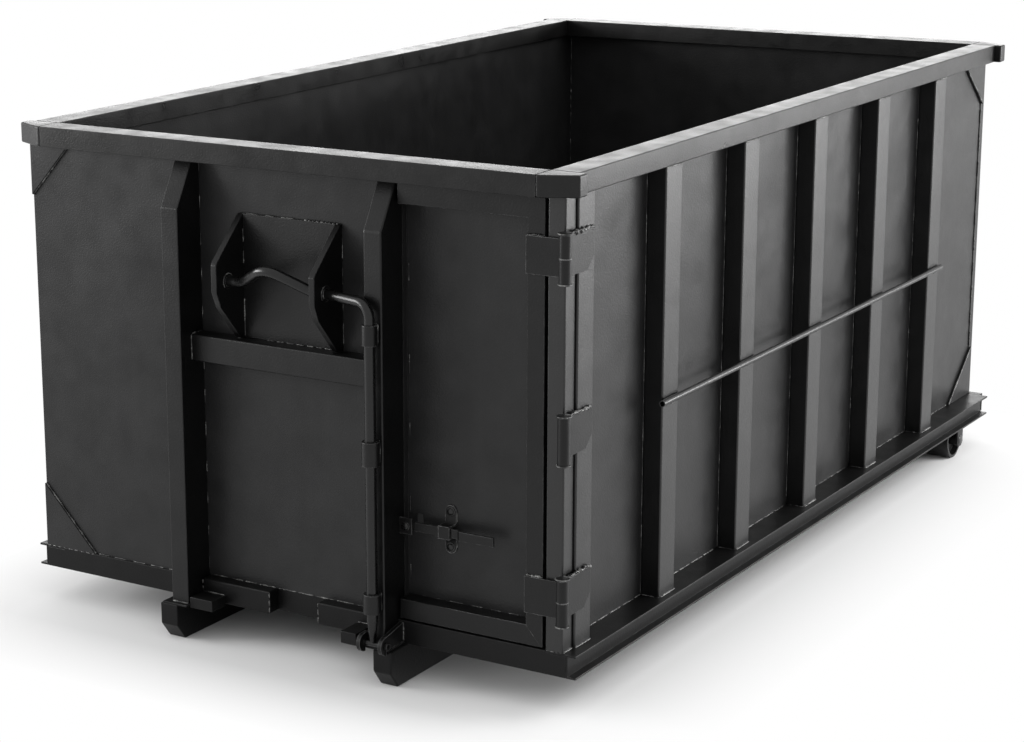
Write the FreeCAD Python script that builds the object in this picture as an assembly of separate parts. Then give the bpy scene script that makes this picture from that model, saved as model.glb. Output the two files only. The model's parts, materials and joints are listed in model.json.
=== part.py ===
import FreeCAD, Part
import math
import os

# A hook-lift roll-off container: an open steel box on two runners. Its hook frame and its hinged door are at the
# front.
# X runs across the box, with the door on the +X side. Y runs from the hook end (low) to the rear. Z is up.
# The functions below place everything with y = 0 at the front face of the rim and z = 0 on the ground.
# The save function then moves the whole part, so that its origin is the bottom centre of its box.

Vec = FreeCAD.Vector
AXIS_X = Vec(1, 0, 0)
AXIS_Y = Vec(0, 1, 0)
AXIS_Z = Vec(0, 0, 1)

# Overall sizes
rim_length = 4350.0
rim_width = 2440.0
frame_underside = 150.0
side_wall_height = 1660.0

# Shared steel sizes
panel_gauge = 4.0
section_gauge = 6.0
overrun = 20.0
weld_seat = 0.3
pivot_clearance = 0.1
slide_clearance = 0.5

# Floor frame
frame_height = 90.0
floor_gauge = 6.0
sill_gauge = 8.0
sill_web_inset = 3.0
sill_flange_reach = 33.0
sill_top_flange = 130.0
sill_rear_inset = 52.0
beam_depth = 80.0
cross_front_face = 60.0
rear_frame_inset = 10.0
cross_member_count = 9
cross_member_width = 60.0
first_cross_member = 600.0
last_cross_member_inset = 550.0

# Rim of rectangular tube, with a proud cap on each corner
rim_height = 80.0
rim_depth = 115.0
cap_chamfer_width = 125.0
cap_chamfer_back = 57.0

# Walls
wall_inset = 83.0
left_panel_face = 72.0
centre_panel_face = 112.0
panel_edge_inset = 10.0
rear_corner_depth = 40.0
end_post_rear = 257.0
end_post_inset = 14.0
door_rebate_lap = 30.0
door_rebate_gap = 1.0

# Side posts
side_post_count = 5
side_post_width = 130.0
side_post_depth = 80.0
first_side_post = 844.0
last_side_post_inset = 802.0

# Corner gussets, flat triangles welded on the walls
gusset_gauge = 12.0
front_upper_gusset_width = 190.0
front_upper_gusset_drop = 207.0
front_lower_gusset_width = 250.0
front_lower_gusset_rise = 262.0
side_upper_gusset_length = 260.0
side_upper_gusset_drop = 215.0
side_lower_gusset_length = 280.0
side_lower_gusset_rise = 236.0
side_gusset_inset = 37.0

# Hook frame: two posts with cut-back tops, a cross beam, two ears and a bent bail
post_width = 78.0
post_centre = 457.0
post_gauge = 8.0
post_front = -31.0
post_foot_height = 8.0
post_bend_drop = 178.0
post_top_setback = 101.0
hook_beam_depth = 76.0
hook_beam_low = 972.0
hook_beam_height = 106.0
ear_gauge = 25.0
ear_centre = 221.0
ear_height = 477.0
ear_reach = 187.0
ear_shoulder_height = 307.0
ear_shoulder_rise = 15.0
ear_shoulder_run = 9.0
ear_knee_height = 202.0
ear_knee_drop = 61.0
ear_knee_run = 26.0
ear_foot_depth = 37.0
back_plate_gauge = 12.0
bail_diameter = 40.0
bail_hole_inset = 70.0
bail_hole_rise = 238.0
bail_stub = 16.5
bail_dip_inset = 81.0
bail_peak_x = 12.0
bail_peak_rise = 76.0
bail_peak_forward = 67.0
bail_foot_inset = 43.0
bail_outer_straight = 14.0
bail_bend_radius = 58.0
collar_diameter = 58.0
collar_gauge = 5.0

# Vertical lock rod on the face of the right post
rod_offset = 8.0
rod_diameter = 42.0
rod_clearance = 0.3
sleeve_diameter = 69.0
upper_sleeve_diameter = 57.0
upper_sleeve_low = 1163.0
upper_sleeve_length = 77.0
middle_sleeve_low = 714.0
middle_sleeve_length = 92.0
lower_sleeve_low = 147.0
lower_sleeve_length = 76.0
bail_end_insert = 18.0
rod_travel = 40.0
rod_end_gap = 2.0
rod_tip_length = 85.0
rod_tip_diameter = 25.0

# Clevis under the lock rod
clevis_gauge = 16.0
clevis_half_gap = 39.0
clevis_height = 70.0
clevis_back_rise = 83.0
clevis_pin_diameter = 22.0
clevis_pin_height = 24.0
clevis_pin_setback = 6.0
pin_head_width = 29.0
pin_head_gauge = 14.0
pin_head_sides = 6
pin_tail = 8.0

# Runners with chamfered noses, and the plate under each post
runner_width = 80.0
runner_centre = 497.0
runner_gauge = 8.0
nose_lead = 24.0
nose_chamfer_length = 50.0
nose_chamfer_height = 65.0
nose_plate_gauge = 8.0
nose_plate_overhang = 7.0
nose_plate_reach = 30.0

# Bars and lugs in the centre bay of the front base
stop_bar_depth = 56.0
left_stop_bar_length = 329.0
right_stop_bar_length = 283.0
left_lug_length = 114.0
left_lug_low = -7.0
left_lug_height = 44.0
right_lug_offset = 32.0
right_lug_length = 68.0
right_lug_depth = 116.0
right_lug_height = 47.0

# Door frame, panel and the post that carries its hinges
door_swing_gap = 10.0
door_hinge_gap = 10.0
door_floor_gap = 7.0
door_top_gap = 10.0
door_face = 62.0
door_depth = 72.0
door_stile_width = 70.0
door_rail_width = 76.0
hinge_post_width = 71.0
hinge_post_depth = 74.0
hinge_post_inset = 24.0
hinge_post_setback = 2.0

# Hinges: a barrel, a front strap on the door and a leaf on the side of the end post
hinge_axis_inset = 7.0
hinge_weld_bite = 2.5
barrel_diameter = 45.0
hinge_pin_diameter = 24.0
hinge_strap_gauge = 12.0
hinge_leaf_gauge = 10.0
hinge_leaf_inset = 23.0
hinge_leaf_start = 26.0
hinge_leaf_top_inset = 6.0
hinge_leaf_low_cut = 46.0
hinge_gap = 1.0
hinge_collar_height = 8.0
hinge_collar_extra = 4.0
hinge_barrel_length = 186.0
top_hinge_drop = 291.0
bottom_hinge_rise = 108.0
middle_hinge_offset = -26.0
top_strap_start = 20.0
top_strap_height = 137.0
bottom_strap_start = 19.0
bottom_strap_height = 139.0

# Door latch: a flat bar that slides in a guide on the door, and a catch plate on the post
latch_height = 455.0
latch_bar_height = 36.0
latch_bar_gauge = 10.0
latch_bar_standoff = 40.0
latch_bar_start = 61.0
latch_guide_offset = 106.0
latch_guide_width = 48.0
latch_guide_gauge = 6.0
latch_guide_half_height = 92.0
latch_travel = 28.0
latch_jog_length = 16.0
latch_jog_depth = 14.0
latch_handle_share = 0.51049
latch_lug_width = 20.0
latch_lug_drop = 12.0
catch_gauge = 8.0
catch_height = 64.0
catch_gap = 7.0
catch_notch_reach = 14.0
catch_notch_gap = 4.0
latch_bolt_diameter = 28.0
latch_bolt_head = 9.0

# Tube along the side posts
side_rail_diameter = 25.0
side_rail_gauge = 3.0
side_rail_height = 865.0
side_rail_lead = 29.0
rail_clip_width = 30.0
rail_clip_gauge = 5.0

# Rear rollers
roller_diameter = 185.0
roller_wall = 12.0
roller_length = 250.0
roller_end_gap = 10.0
roller_rear_inset = 375.0
roller_web_inset = 30.0
roller_web_gauge = 10.0
roller_hub_diameter = 60.0
axle_diameter = 30.0
axle_head_gauge = 4.0
axle_head_diameter = 44.0
cheek_gauge = 12.0
cheek_edge_inset = 14.0
cheek_width = 70.0
cheek_drop = 33.0
cheek_chamfer = 18.0

# Sizes worked out from those above
rim_half = rim_width / 2
frame_top = frame_underside + frame_height
rim_base = frame_top + side_wall_height
rim_top = rim_base + rim_height
sill_web_outer = rim_half - sill_web_inset
sill_web_inner = sill_web_outer - sill_gauge
flange_half = sill_web_outer + sill_flange_reach
sill_inner_edge = flange_half - sill_top_flange
sill_front = cross_front_face
sill_rear = rim_length - sill_rear_inset
wall_face = rim_half - wall_inset
wall_inner = wall_face - panel_gauge
side_post_outer = wall_face + side_post_depth
end_post_outer = side_post_outer - end_post_inset
rear_frame_face = rim_length - rear_frame_inset
rear_panel_front = rear_frame_face - panel_gauge
front_panel_edge = rim_half - panel_edge_inset
panel_left_back = left_panel_face + panel_gauge
panel_centre_back = centre_panel_face + panel_gauge
post_half = post_width / 2
post_inner = post_centre - post_half
post_outer = post_centre + post_half
nose_face = post_front - nose_lead
runner_outer = runner_centre + runner_width / 2
centre_bay_half = post_inner - nose_plate_overhang
hook_beam_top = hook_beam_low + hook_beam_height
ear_nose_y = centre_panel_face - ear_reach
bail_hole_y = ear_nose_y + bail_hole_inset
bail_hole_height = hook_beam_top + bail_hole_rise
upper_sleeve_high = upper_sleeve_low + upper_sleeve_length
rod_x = post_centre + rod_offset
rod_y = post_front - sleeve_diameter / 2
front_reach = rod_y - sleeve_diameter / 2
pin_y = rod_y + clevis_pin_setback
pin_height = frame_underside + clevis_pin_height
rod_low = pin_height + clevis_pin_diameter / 2 + rod_clearance
stop_bar_face = centre_panel_face - stop_bar_depth
hinge_post_right = side_post_outer - hinge_post_inset
hinge_post_left = hinge_post_right - hinge_post_width
hinge_post_front = door_face + hinge_post_setback
hinge_post_back = hinge_post_front + hinge_post_depth
door_left = post_outer + door_swing_gap
door_right = hinge_post_left - door_hinge_gap
door_low = frame_top + door_floor_gap
door_high = rim_base - door_top_gap
door_panel_face = door_face + door_depth
door_panel_back = door_panel_face + panel_gauge
hinge_axis_x = side_post_outer - hinge_axis_inset
hinge_axis_y = door_face - hinge_strap_gauge + hinge_weld_bite - barrel_diameter / 2
top_hinge_low = door_high - top_hinge_drop
bottom_hinge_low = door_low + bottom_hinge_rise
middle_hinge_low = (top_hinge_low + bottom_hinge_low) / 2 + middle_hinge_offset
latch_middle = frame_underside + latch_height
latch_bar_left = post_outer + latch_bar_start
latch_bar_back = door_panel_face - latch_bar_standoff
latch_bar_face = latch_bar_back - latch_bar_gauge
latch_guide_left = latch_bar_left + latch_guide_offset
latch_guide_right = latch_guide_left + latch_guide_width
latch_jog_start = latch_guide_right + latch_travel + 2 * slide_clearance
latch_jog_end = latch_jog_start + latch_jog_length
latch_handle_end = latch_jog_end + (door_right - door_stile_width - latch_jog_end) * latch_handle_share
cross_member_pitch = (rim_length - last_cross_member_inset - first_cross_member) / (cross_member_count - 1)
last_side_post = rim_length - last_side_post_inset
side_post_pitch = (last_side_post - first_side_post) / (side_post_count - 1)
side_rail_front = first_side_post - side_post_width / 2 - side_rail_lead
side_rail_rear = last_side_post + side_post_width / 2
roller_axis = roller_diameter / 2
roller_centre_y = rim_length - roller_rear_inset
cheek_outer_face = flange_half - cheek_edge_inset
cheek_inner_face = cheek_outer_face - cheek_gauge
roller_outer_end = sill_web_outer - roller_end_gap
roller_inner_end = roller_outer_end - roller_length
mid_y = (front_reach + rim_length) / 2


def above(height):
    """A height measured from the underside of the floor frame, as a height above the ground."""
    return frame_underside + height


def box(x0, x1, y0, y1, z0, z1):
    low = Vec(min(x0, x1), min(y0, y1), min(z0, z1))
    return Part.makeBox(abs(x1 - x0), abs(y1 - y0), abs(z1 - z0), low)


def prism(points, direction):
    """A closed flat outline pushed along a direction."""
    loop = [Vec(*p) for p in points]
    loop.append(loop[0])
    return Part.Face(Part.makePolygon(loop)).extrude(direction)


def rod(diameter, start, end):
    along = Vec(*end) - Vec(*start)
    return Part.makeCylinder(diameter / 2, along.Length, Vec(*start), along)


def tube(outer, inner, start, end):
    return rod(outer, start, end).cut(rod(inner, start, end))


def fuse(shapes):
    whole = shapes[0]
    for piece in shapes[1:]:
        whole = whole.fuse(piece)
    return whole.removeSplitter()


def mirror_x(shape):
    return shape.mirror(Vec(0, 0, 0), AXIS_X)


def group(shapes):
    return Part.makeCompound(shapes)


def upright_tube(x0, x1, y0, y1, z0, z1, gauge):
    """A rectangular tube standing up, open at its two ends."""
    outer = box(x0, x1, y0, y1, z0, z1)
    left = min(x0, x1) + gauge
    right = max(x0, x1) - gauge
    return outer.cut(box(left, right, y0 + gauge, y1 - gauge, z0 - overrun, z1 + overrun))


def bent_bar(points, radius, diameter):
    """A round bar along straight runs that are joined by tangent arcs of one radius."""
    corners = [Vec(*p) for p in points]
    edges = []
    last = corners[0]
    for before, corner, after in zip(corners, corners[1:], corners[2:]):
        back = (before - corner).normalize()
        ahead = (after - corner).normalize()
        half_angle = back.getAngle(ahead) / 2
        setback = radius / math.tan(half_angle)
        start = corner + back * setback
        end = corner + ahead * setback
        bisector = (back + ahead).normalize()
        centre = corner + bisector * (radius / math.sin(half_angle))
        middle = centre - bisector * radius
        edges.append(Part.LineSegment(last, start).toShape())
        edges.append(Part.Arc(start, middle, end).toShape())
        last = end
    edges.append(Part.LineSegment(last, corners[-1]).toShape())
    path = Part.Wire(edges)
    section = Part.Wire([Part.makeCircle(diameter / 2, corners[0], corners[1] - corners[0])])
    return path.makePipeShell([section], True, False)


# Floor frame


def floor_plate():
    front = door_panel_back + weld_seat
    return box(-wall_inner, wall_inner, front, rear_panel_front, frame_top, frame_top + floor_gauge)


def flange_seats():
    """The room that the two sills' top flanges take out of a member that ends at their webs."""
    seats = []
    for side in (-1, 1):
        inner = side * sill_inner_edge
        outer = side * (sill_web_inner + overrun)
        seats.append(box(inner, outer, sill_front, sill_rear, frame_top - sill_gauge, frame_top + overrun))
    return group(seats)


def floor_cross_members():
    """Channels across the box, open to the rear, under the floor plate."""
    members = []
    for number in range(cross_member_count):
        centre = first_cross_member + number * cross_member_pitch
        front = centre - cross_member_width / 2
        rear = centre + cross_member_width / 2
        bar = box(-sill_web_inner, sill_web_inner, front, rear, frame_underside, frame_top)
        hollow = box(-sill_web_inner - overrun, sill_web_inner + overrun, front + section_gauge, rear + overrun,
                     frame_underside + section_gauge, frame_top - section_gauge)
        members.append(bar.cut(hollow).cut(flange_seats()))
    return group(members)


def sill():
    """A channel that opens outward, with its top flange carried inward under the wall."""
    low = frame_underside
    outline = [
        (sill_inner_edge, sill_front, frame_top),
        (flange_half, sill_front, frame_top),
        (flange_half, sill_front, frame_top - sill_gauge),
        (sill_web_outer, sill_front, frame_top - sill_gauge),
        (sill_web_outer, sill_front, low + sill_gauge),
        (flange_half, sill_front, low + sill_gauge),
        (flange_half, sill_front, low),
        (sill_web_inner, sill_front, low),
        (sill_web_inner, sill_front, frame_top - sill_gauge),
        (sill_inner_edge, sill_front, frame_top - sill_gauge),
    ]
    return prism(outline, AXIS_Y * (sill_rear - sill_front))


def front_cross_member():
    """A beam across the front, set back behind the two hook posts and open to the rear."""
    bays = [
        (-sill_web_inner, -post_outer, cross_front_face),
        (-post_outer, post_outer, centre_panel_face),
        (post_outer, sill_web_inner, cross_front_face),
    ]
    outers = []
    inners = []
    for left, right, face in bays:
        outers.append(box(left, right, face, face + beam_depth, frame_underside, frame_top))
        inners.append(box(left + sill_gauge, right - sill_gauge, face + sill_gauge, face + beam_depth + overrun,
                          frame_underside + sill_gauge, frame_top - sill_gauge))
    return fuse(outers).cut(group(inners)).cut(flange_seats())


def rear_cross_member():
    front = rear_frame_face - beam_depth
    bar = box(-sill_web_inner, sill_web_inner, front, rear_frame_face, frame_underside, frame_top)
    half = sill_web_inner + overrun
    hollow = box(-half, half, front - overrun, rear_frame_face - sill_gauge, frame_underside + sill_gauge,
                 frame_top - sill_gauge)
    return bar.cut(hollow).cut(flange_seats())


def runner():
    """A rectangular tube on the ground, whose front is closed and drawn up in a chamfered nose."""
    left = runner_centre - runner_width / 2
    nose_top = above(post_foot_height) - nose_plate_gauge
    outline = [
        (left, nose_face, nose_top),
        (left, cross_front_face, nose_top),
        (left, cross_front_face, frame_underside),
        (left, rear_frame_face, frame_underside),
        (left, rear_frame_face, 0),
        (left, nose_face + nose_chamfer_length, 0),
        (left, nose_face, nose_chamfer_height),
    ]
    solid = prism(outline, AXIS_X * runner_width)
    hollow = box(left + runner_gauge, runner_outer - runner_gauge, cross_front_face, rear_frame_face + overrun,
                 runner_gauge, frame_underside - runner_gauge)
    return solid.cut(hollow)


def nose_plates():
    """The flat plate between each post's foot and the runner's nose."""
    high = above(post_foot_height)
    right = post_outer + nose_plate_reach
    plate = box(centre_bay_half, right, nose_face, cross_front_face, high - nose_plate_gauge, high)
    return group([plate, mirror_x(plate)])


# Walls and posts


def side_wall():
    front = panel_left_back
    return box(wall_inner, wall_face, front, rear_panel_front, frame_top, rim_base)


def right_side_wall():
    return box(wall_inner, wall_face, hinge_post_back, rear_panel_front, frame_top, rim_base)


def rear_wall():
    """The rear panel with a folded box at each corner."""
    pieces = [box(-wall_face, wall_face, rear_panel_front, rear_frame_face, frame_top, rim_base)]
    fold_front = rear_frame_face - rear_corner_depth
    for side in (-1, 1):
        inner = side * wall_face
        outer = side * (wall_face + panel_gauge)
        pieces.append(box(inner, outer, fold_front, rear_frame_face, frame_top, rim_base))
    return fuse(pieces)


def left_front_panel():
    return box(-front_panel_edge, -post_outer, left_panel_face, panel_left_back, frame_top, rim_base)


def centre_front_panel():
    """The recessed panel behind the hook frame, folded on its right into a rebate that the door shuts against."""
    lip_front = door_panel_back + door_rebate_gap
    lip_back = lip_front + panel_gauge
    left = post_outer - panel_gauge
    pieces = [
        box(-post_outer, post_outer, centre_panel_face, panel_centre_back, frame_top, rim_base),
        box(left, post_outer, centre_panel_face, lip_back, frame_top + floor_gauge, rim_base),
        box(left, door_left + door_rebate_lap, lip_front, lip_back, frame_top + floor_gauge, rim_base),
    ]
    return fuse(pieces)


def end_post(front):
    """The tube that stiffens the front end of a side wall."""
    return upright_tube(wall_face, end_post_outer, front, end_post_rear, frame_top, rim_base, panel_gauge)


def side_posts():
    posts = []
    for number in range(side_post_count):
        centre = first_side_post + number * side_post_pitch
        front = centre - side_post_width / 2
        rear = centre + side_post_width / 2
        posts.append(upright_tube(wall_face, side_post_outer, front, rear, frame_top, rim_base, panel_gauge))
    return group(posts)


def hinge_post():
    return upright_tube(hinge_post_left, hinge_post_right, hinge_post_front, hinge_post_back, frame_top, rim_base,
                        panel_gauge)


def gusset_plates():
    """Flat corner triangles: two on the left front panel and two near the rear of each side wall."""
    front = left_panel_face - gusset_gauge
    corner = -front_panel_edge
    upper = [(corner, front, rim_base), (corner + front_upper_gusset_width, front, rim_base),
             (corner, front, rim_base - front_upper_gusset_drop)]
    lower = [(corner, front, frame_top), (corner + front_lower_gusset_width, front, frame_top),
             (corner, front, frame_top + front_lower_gusset_rise)]
    plates = [prism(upper, AXIS_Y * gusset_gauge), prism(lower, AXIS_Y * gusset_gauge)]
    rear = rim_length - side_gusset_inset
    upper = [(wall_face, rear, rim_base), (wall_face, rear - side_upper_gusset_length, rim_base),
             (wall_face, rear, rim_base - side_upper_gusset_drop)]
    lower = [(wall_face, rear, frame_top), (wall_face, rear - side_lower_gusset_length, frame_top),
             (wall_face, rear, frame_top + side_lower_gusset_rise)]
    fold_front = rear_frame_face - rear_corner_depth
    corner_fold = box(wall_face, wall_face + panel_gauge, fold_front, rim_length, frame_top, rim_base)
    for outline in (upper, lower):
        plate = prism(outline, AXIS_X * gusset_gauge).cut(corner_fold)
        plates.append(plate)
        plates.append(mirror_x(plate))
    return group(plates)


# Rim


def cross_rim(front):
    """A hollow rail across the box, between two corner caps."""
    half = rim_half - rim_depth
    outer = box(-half, half, front, front + rim_depth, rim_base, rim_top)
    inner = box(-half - overrun, half + overrun, front + section_gauge, front + rim_depth - section_gauge,
                rim_base + section_gauge, rim_top - section_gauge)
    return outer.cut(inner)


def side_rim():
    inner_x = rim_half - rim_depth
    outer = box(inner_x, rim_half, rim_depth, rim_length - rim_depth, rim_base, rim_top)
    inner = box(inner_x + section_gauge, rim_half - section_gauge, rim_depth - overrun,
                rim_length - rim_depth + overrun, rim_base + section_gauge, rim_top - section_gauge)
    return outer.cut(inner)


def corner_cap():
    """The front right cap, with its outer corner cut back in plan."""
    seam = rim_half - rim_depth
    outline = [
        (seam, 0, rim_base),
        (flange_half - cap_chamfer_width, 0, rim_base),
        (flange_half, cap_chamfer_back, rim_base),
        (flange_half, rim_depth, rim_base),
        (seam, rim_depth, rim_base),
    ]
    return prism(outline, AXIS_Z * rim_height)


def rear_corner_cap():
    return corner_cap().mirror(Vec(0, rim_length / 2, 0), AXIS_Y)


# Hook frame


def front_post():
    """A rectangular tube whose top is cut back to the rim."""
    bend = rim_base - post_bend_drop
    outline = [
        (post_inner, post_front, above(post_foot_height)),
        (post_inner, centre_panel_face, above(post_foot_height)),
        (post_inner, centre_panel_face, rim_base),
        (post_inner, post_front + post_top_setback, rim_base),
        (post_inner, post_front, bend),
    ]
    solid = prism(outline, AXIS_X * post_width)
    hollow = box(post_inner + post_gauge, post_outer - post_gauge, post_front + post_gauge,
                 centre_panel_face - post_gauge, above(post_foot_height) - overrun, bend)
    return solid.cut(hollow)


def cross_beam():
    front = centre_panel_face - hook_beam_depth
    low = above(hook_beam_low)
    high = above(hook_beam_top)
    outer = box(-post_inner, post_inner, front, centre_panel_face, low, high)
    inner = box(-post_inner - overrun, post_inner + overrun, front + section_gauge,
                centre_panel_face - section_gauge, low + section_gauge, high - section_gauge)
    return outer.cut(inner)


def back_plate():
    half = ear_centre - ear_gauge / 2
    low = above(hook_beam_top)
    return box(-half, half, centre_panel_face - back_plate_gauge, centre_panel_face, low, low + ear_height)


def ear():
    """The right ear, an upright plate with a blunt nose and a hole for the bail."""
    left = ear_centre - ear_gauge / 2
    foot = above(hook_beam_top)
    shoulder = foot + ear_shoulder_height
    knee = foot + ear_knee_height
    outline = [
        (left, centre_panel_face, foot + ear_height),
        (left, centre_panel_face - back_plate_gauge, foot + ear_height),
        (left, ear_nose_y + ear_shoulder_run, shoulder + ear_shoulder_rise),
        (left, ear_nose_y, shoulder),
        (left, ear_nose_y, knee),
        (left, ear_nose_y + ear_knee_run, knee - ear_knee_drop),
        (left, centre_panel_face - ear_foot_depth, foot),
        (left, centre_panel_face, foot),
    ]
    plate = prism(outline, AXIS_X * ear_gauge)
    hole_height = above(bail_hole_height)
    start = (left - overrun, bail_hole_y, hole_height)
    end = (left + ear_gauge + overrun, bail_hole_y, hole_height)
    return plate.cut(rod(bail_diameter, start, end))


def ear_collars():
    """A ring round the bail on each face of each ear."""
    rings = []
    height = above(bail_hole_height)
    for side in (-1, 1):
        for face in (-1, 1):
            near = side * ear_centre + face * ear_gauge / 2
            far = near + face * collar_gauge
            start = (min(near, far), bail_hole_y, height)
            end = (max(near, far), bail_hole_y, height)
            rings.append(tube(collar_diameter, bail_diameter, start, end))
    return group(rings)


def bail():
    """The bar that a hook picks up: straight through both ears, humped between them, and bent down at its end."""
    height = above(bail_hole_height)
    peak_y = bail_hole_y - bail_peak_forward
    ear_outer = ear_centre + ear_gauge / 2
    points = [
        (-ear_outer - bail_stub, bail_hole_y, height),
        (bail_dip_inset - ear_centre, bail_hole_y, height),
        (bail_peak_x, peak_y, height + bail_peak_rise),
        (ear_centre - bail_foot_inset, bail_hole_y, height),
        (ear_outer + bail_outer_straight, bail_hole_y, height),
        (rod_x, rod_y, height),
        (rod_x, rod_y, above(upper_sleeve_high) - bail_end_insert),
    ]
    return bent_bar(points, bail_bend_radius, bail_diameter)


# Lock rod


def rod_sleeves():
    """Three guide tubes on the right post's face, the slimmer upper one on a packing block."""
    bore = rod_diameter + 2 * rod_clearance
    spans = [
        (lower_sleeve_low, lower_sleeve_low + lower_sleeve_length, sleeve_diameter),
        (middle_sleeve_low, middle_sleeve_low + middle_sleeve_length, sleeve_diameter),
        (upper_sleeve_low, upper_sleeve_high, upper_sleeve_diameter),
    ]
    sleeves = []
    for low, high, outer in spans:
        start = (rod_x, rod_y, above(low))
        end = (rod_x, rod_y, above(high))
        body = rod(outer, start, end)
        block = box(rod_x - outer / 4, rod_x + outer / 4, rod_y, post_front, above(low), above(high))
        sleeves.append(fuse([body, block]).cut(rod(bore, start, end)))
    return group(sleeves)


def lock_rod():
    """A round rod that rests its tapered tip on the clevis pin and lifts in its sleeves."""
    top = above(upper_sleeve_high) - bail_end_insert - rod_travel - rod_end_gap
    shank = rod(rod_diameter, (rod_x, rod_y, rod_low + rod_tip_length), (rod_x, rod_y, top))
    foot = Vec(rod_x, rod_y, rod_low)
    tip = Part.makeCone(rod_tip_diameter / 2, rod_diameter / 2, rod_tip_length, foot, AXIS_Z)
    return fuse([tip, shank])


def clevis_bracket():
    """Two round-fronted lugs on the plate under the post: one stands before it, one widens back beside it."""
    half = clevis_half_gap + clevis_gauge
    foot = above(post_foot_height)
    radius = clevis_height / 2
    low = pin_height - radius
    high = pin_height + radius
    lugs = []
    spans = ((rod_x - half, post_front, high), (rod_x + clevis_half_gap, cross_front_face, above(clevis_back_rise)))
    for left, back, back_high in spans:
        right = left + clevis_gauge
        blank = rod(clevis_height, (left, pin_y, pin_height), (right, pin_y, pin_height))
        blank = blank.cut(box(left, right, pin_y, pin_y + radius, low, high))
        outline = [(left, pin_y, low), (left, back, low), (left, back, back_high), (left, pin_y, high)]
        blank = fuse([blank, prism(outline, AXIS_X * clevis_gauge)])
        lugs.append(blank.cut(box(left, right, nose_face, back, low, foot)))
    bore = rod(clevis_pin_diameter, (rod_x - half - overrun, pin_y, pin_height),
               (rod_x + half + overrun, pin_y, pin_height))
    return group(lugs).cut(bore)


def clevis_pin():
    """A cross pin with a hexagonal head on its right end."""
    half = clevis_half_gap + clevis_gauge
    right = rod_x + half
    shank = rod(clevis_pin_diameter, (rod_x - half - pin_tail, pin_y, pin_height), (right, pin_y, pin_height))
    side_angle = math.pi / pin_head_sides
    head_radius = pin_head_width / 2 / math.cos(side_angle)
    corners = []
    for number in range(pin_head_sides):
        angle = 2 * side_angle * number
        corners.append((right, pin_y + head_radius * math.cos(angle), pin_height + head_radius * math.sin(angle)))
    return fuse([shank, prism(corners, AXIS_X * pin_head_gauge)])


# Bars and lugs in the centre bay


def stop_bars():
    left = box(-centre_bay_half, left_stop_bar_length - post_inner, stop_bar_face, centre_panel_face,
               frame_underside, frame_top)
    right = box(post_inner - right_stop_bar_length, centre_bay_half, stop_bar_face, centre_panel_face,
                frame_underside, frame_top)
    return group([left, right])


def left_lug():
    low = above(left_lug_low)
    high = low + left_lug_height
    return box(-centre_bay_half, left_lug_length - post_inner, post_front, stop_bar_face, low, high)


def right_lug():
    right = post_inner - right_lug_offset
    return box(right - right_lug_length, right, stop_bar_face - right_lug_depth, stop_bar_face, frame_underside,
               frame_underside + right_lug_height)


# Door


def door_frame():
    """The right stile, the bottom and top rails of square tube, and a flat edge on the latch side."""
    back = door_panel_face
    low = door_low
    high = door_high
    stile = box(door_right - door_stile_width, door_right, door_face, back, low, high)
    bottom = box(door_left, door_right, door_face, back, low, low + door_rail_width)
    top = box(door_left, door_right, door_face, back, high - door_rail_width, high)
    gauge = section_gauge
    hollows = [
        box(door_right - door_stile_width + gauge, door_right - gauge, door_face + gauge, back - gauge,
            low + gauge, high - gauge),
        box(door_left - overrun, door_right - gauge, door_face + gauge, back - gauge, low + gauge,
            low + door_rail_width - gauge),
        box(door_left - overrun, door_right - gauge, door_face + gauge, back - gauge,
            high - door_rail_width + gauge, high - gauge),
    ]
    return fuse([stile, bottom, top]).cut(fuse(hollows))


def door_panel():
    """The sheet behind the door's frame, with a notch that lets it swing past the catch plate."""
    sheet = box(door_left, door_right, door_panel_face, door_panel_back, door_low, door_high)
    right = latch_bar_left - catch_gap + catch_notch_reach
    half = catch_height / 2 + catch_notch_gap
    return sheet.cut(box(post_outer, right, door_face, door_panel_back, latch_middle - half, latch_middle + half))


def barrel(low, high):
    return rod(barrel_diameter, (hinge_axis_x, hinge_axis_y, low), (hinge_axis_x, hinge_axis_y, high))


def pin_bore(low):
    start = (hinge_axis_x, hinge_axis_y, low - overrun)
    end = (hinge_axis_x, hinge_axis_y, low + hinge_barrel_length + overrun)
    return rod(hinge_pin_diameter + 2 * pivot_clearance, start, end)


def hinge_straps():
    """The two door straps: a plate across the stile, whose upper part is carried on to the upper knuckle."""
    straps = []
    left = door_right - door_stile_width
    clear_x = hinge_axis_x - barrel_diameter / 2 - hinge_collar_extra
    front = door_face - hinge_strap_gauge
    spans = ((top_hinge_low, top_strap_start, top_strap_height),
             (bottom_hinge_low, bottom_strap_start, bottom_strap_height))
    for hinge_low, strap_start, strap_height in spans:
        low = hinge_low + strap_start
        high = low + strap_height
        split = hinge_low + hinge_barrel_length / 2 + hinge_gap
        plate = box(left, clear_x, front, door_face, low, high)
        arm = box(clear_x, hinge_axis_x, front, door_face, split, high)
        knuckle = barrel(split, hinge_low + hinge_barrel_length - hinge_collar_height - hinge_gap)
        straps.append(fuse([plate, arm, knuckle]).cut(pin_bore(hinge_low)))
    return group(straps)


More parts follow.
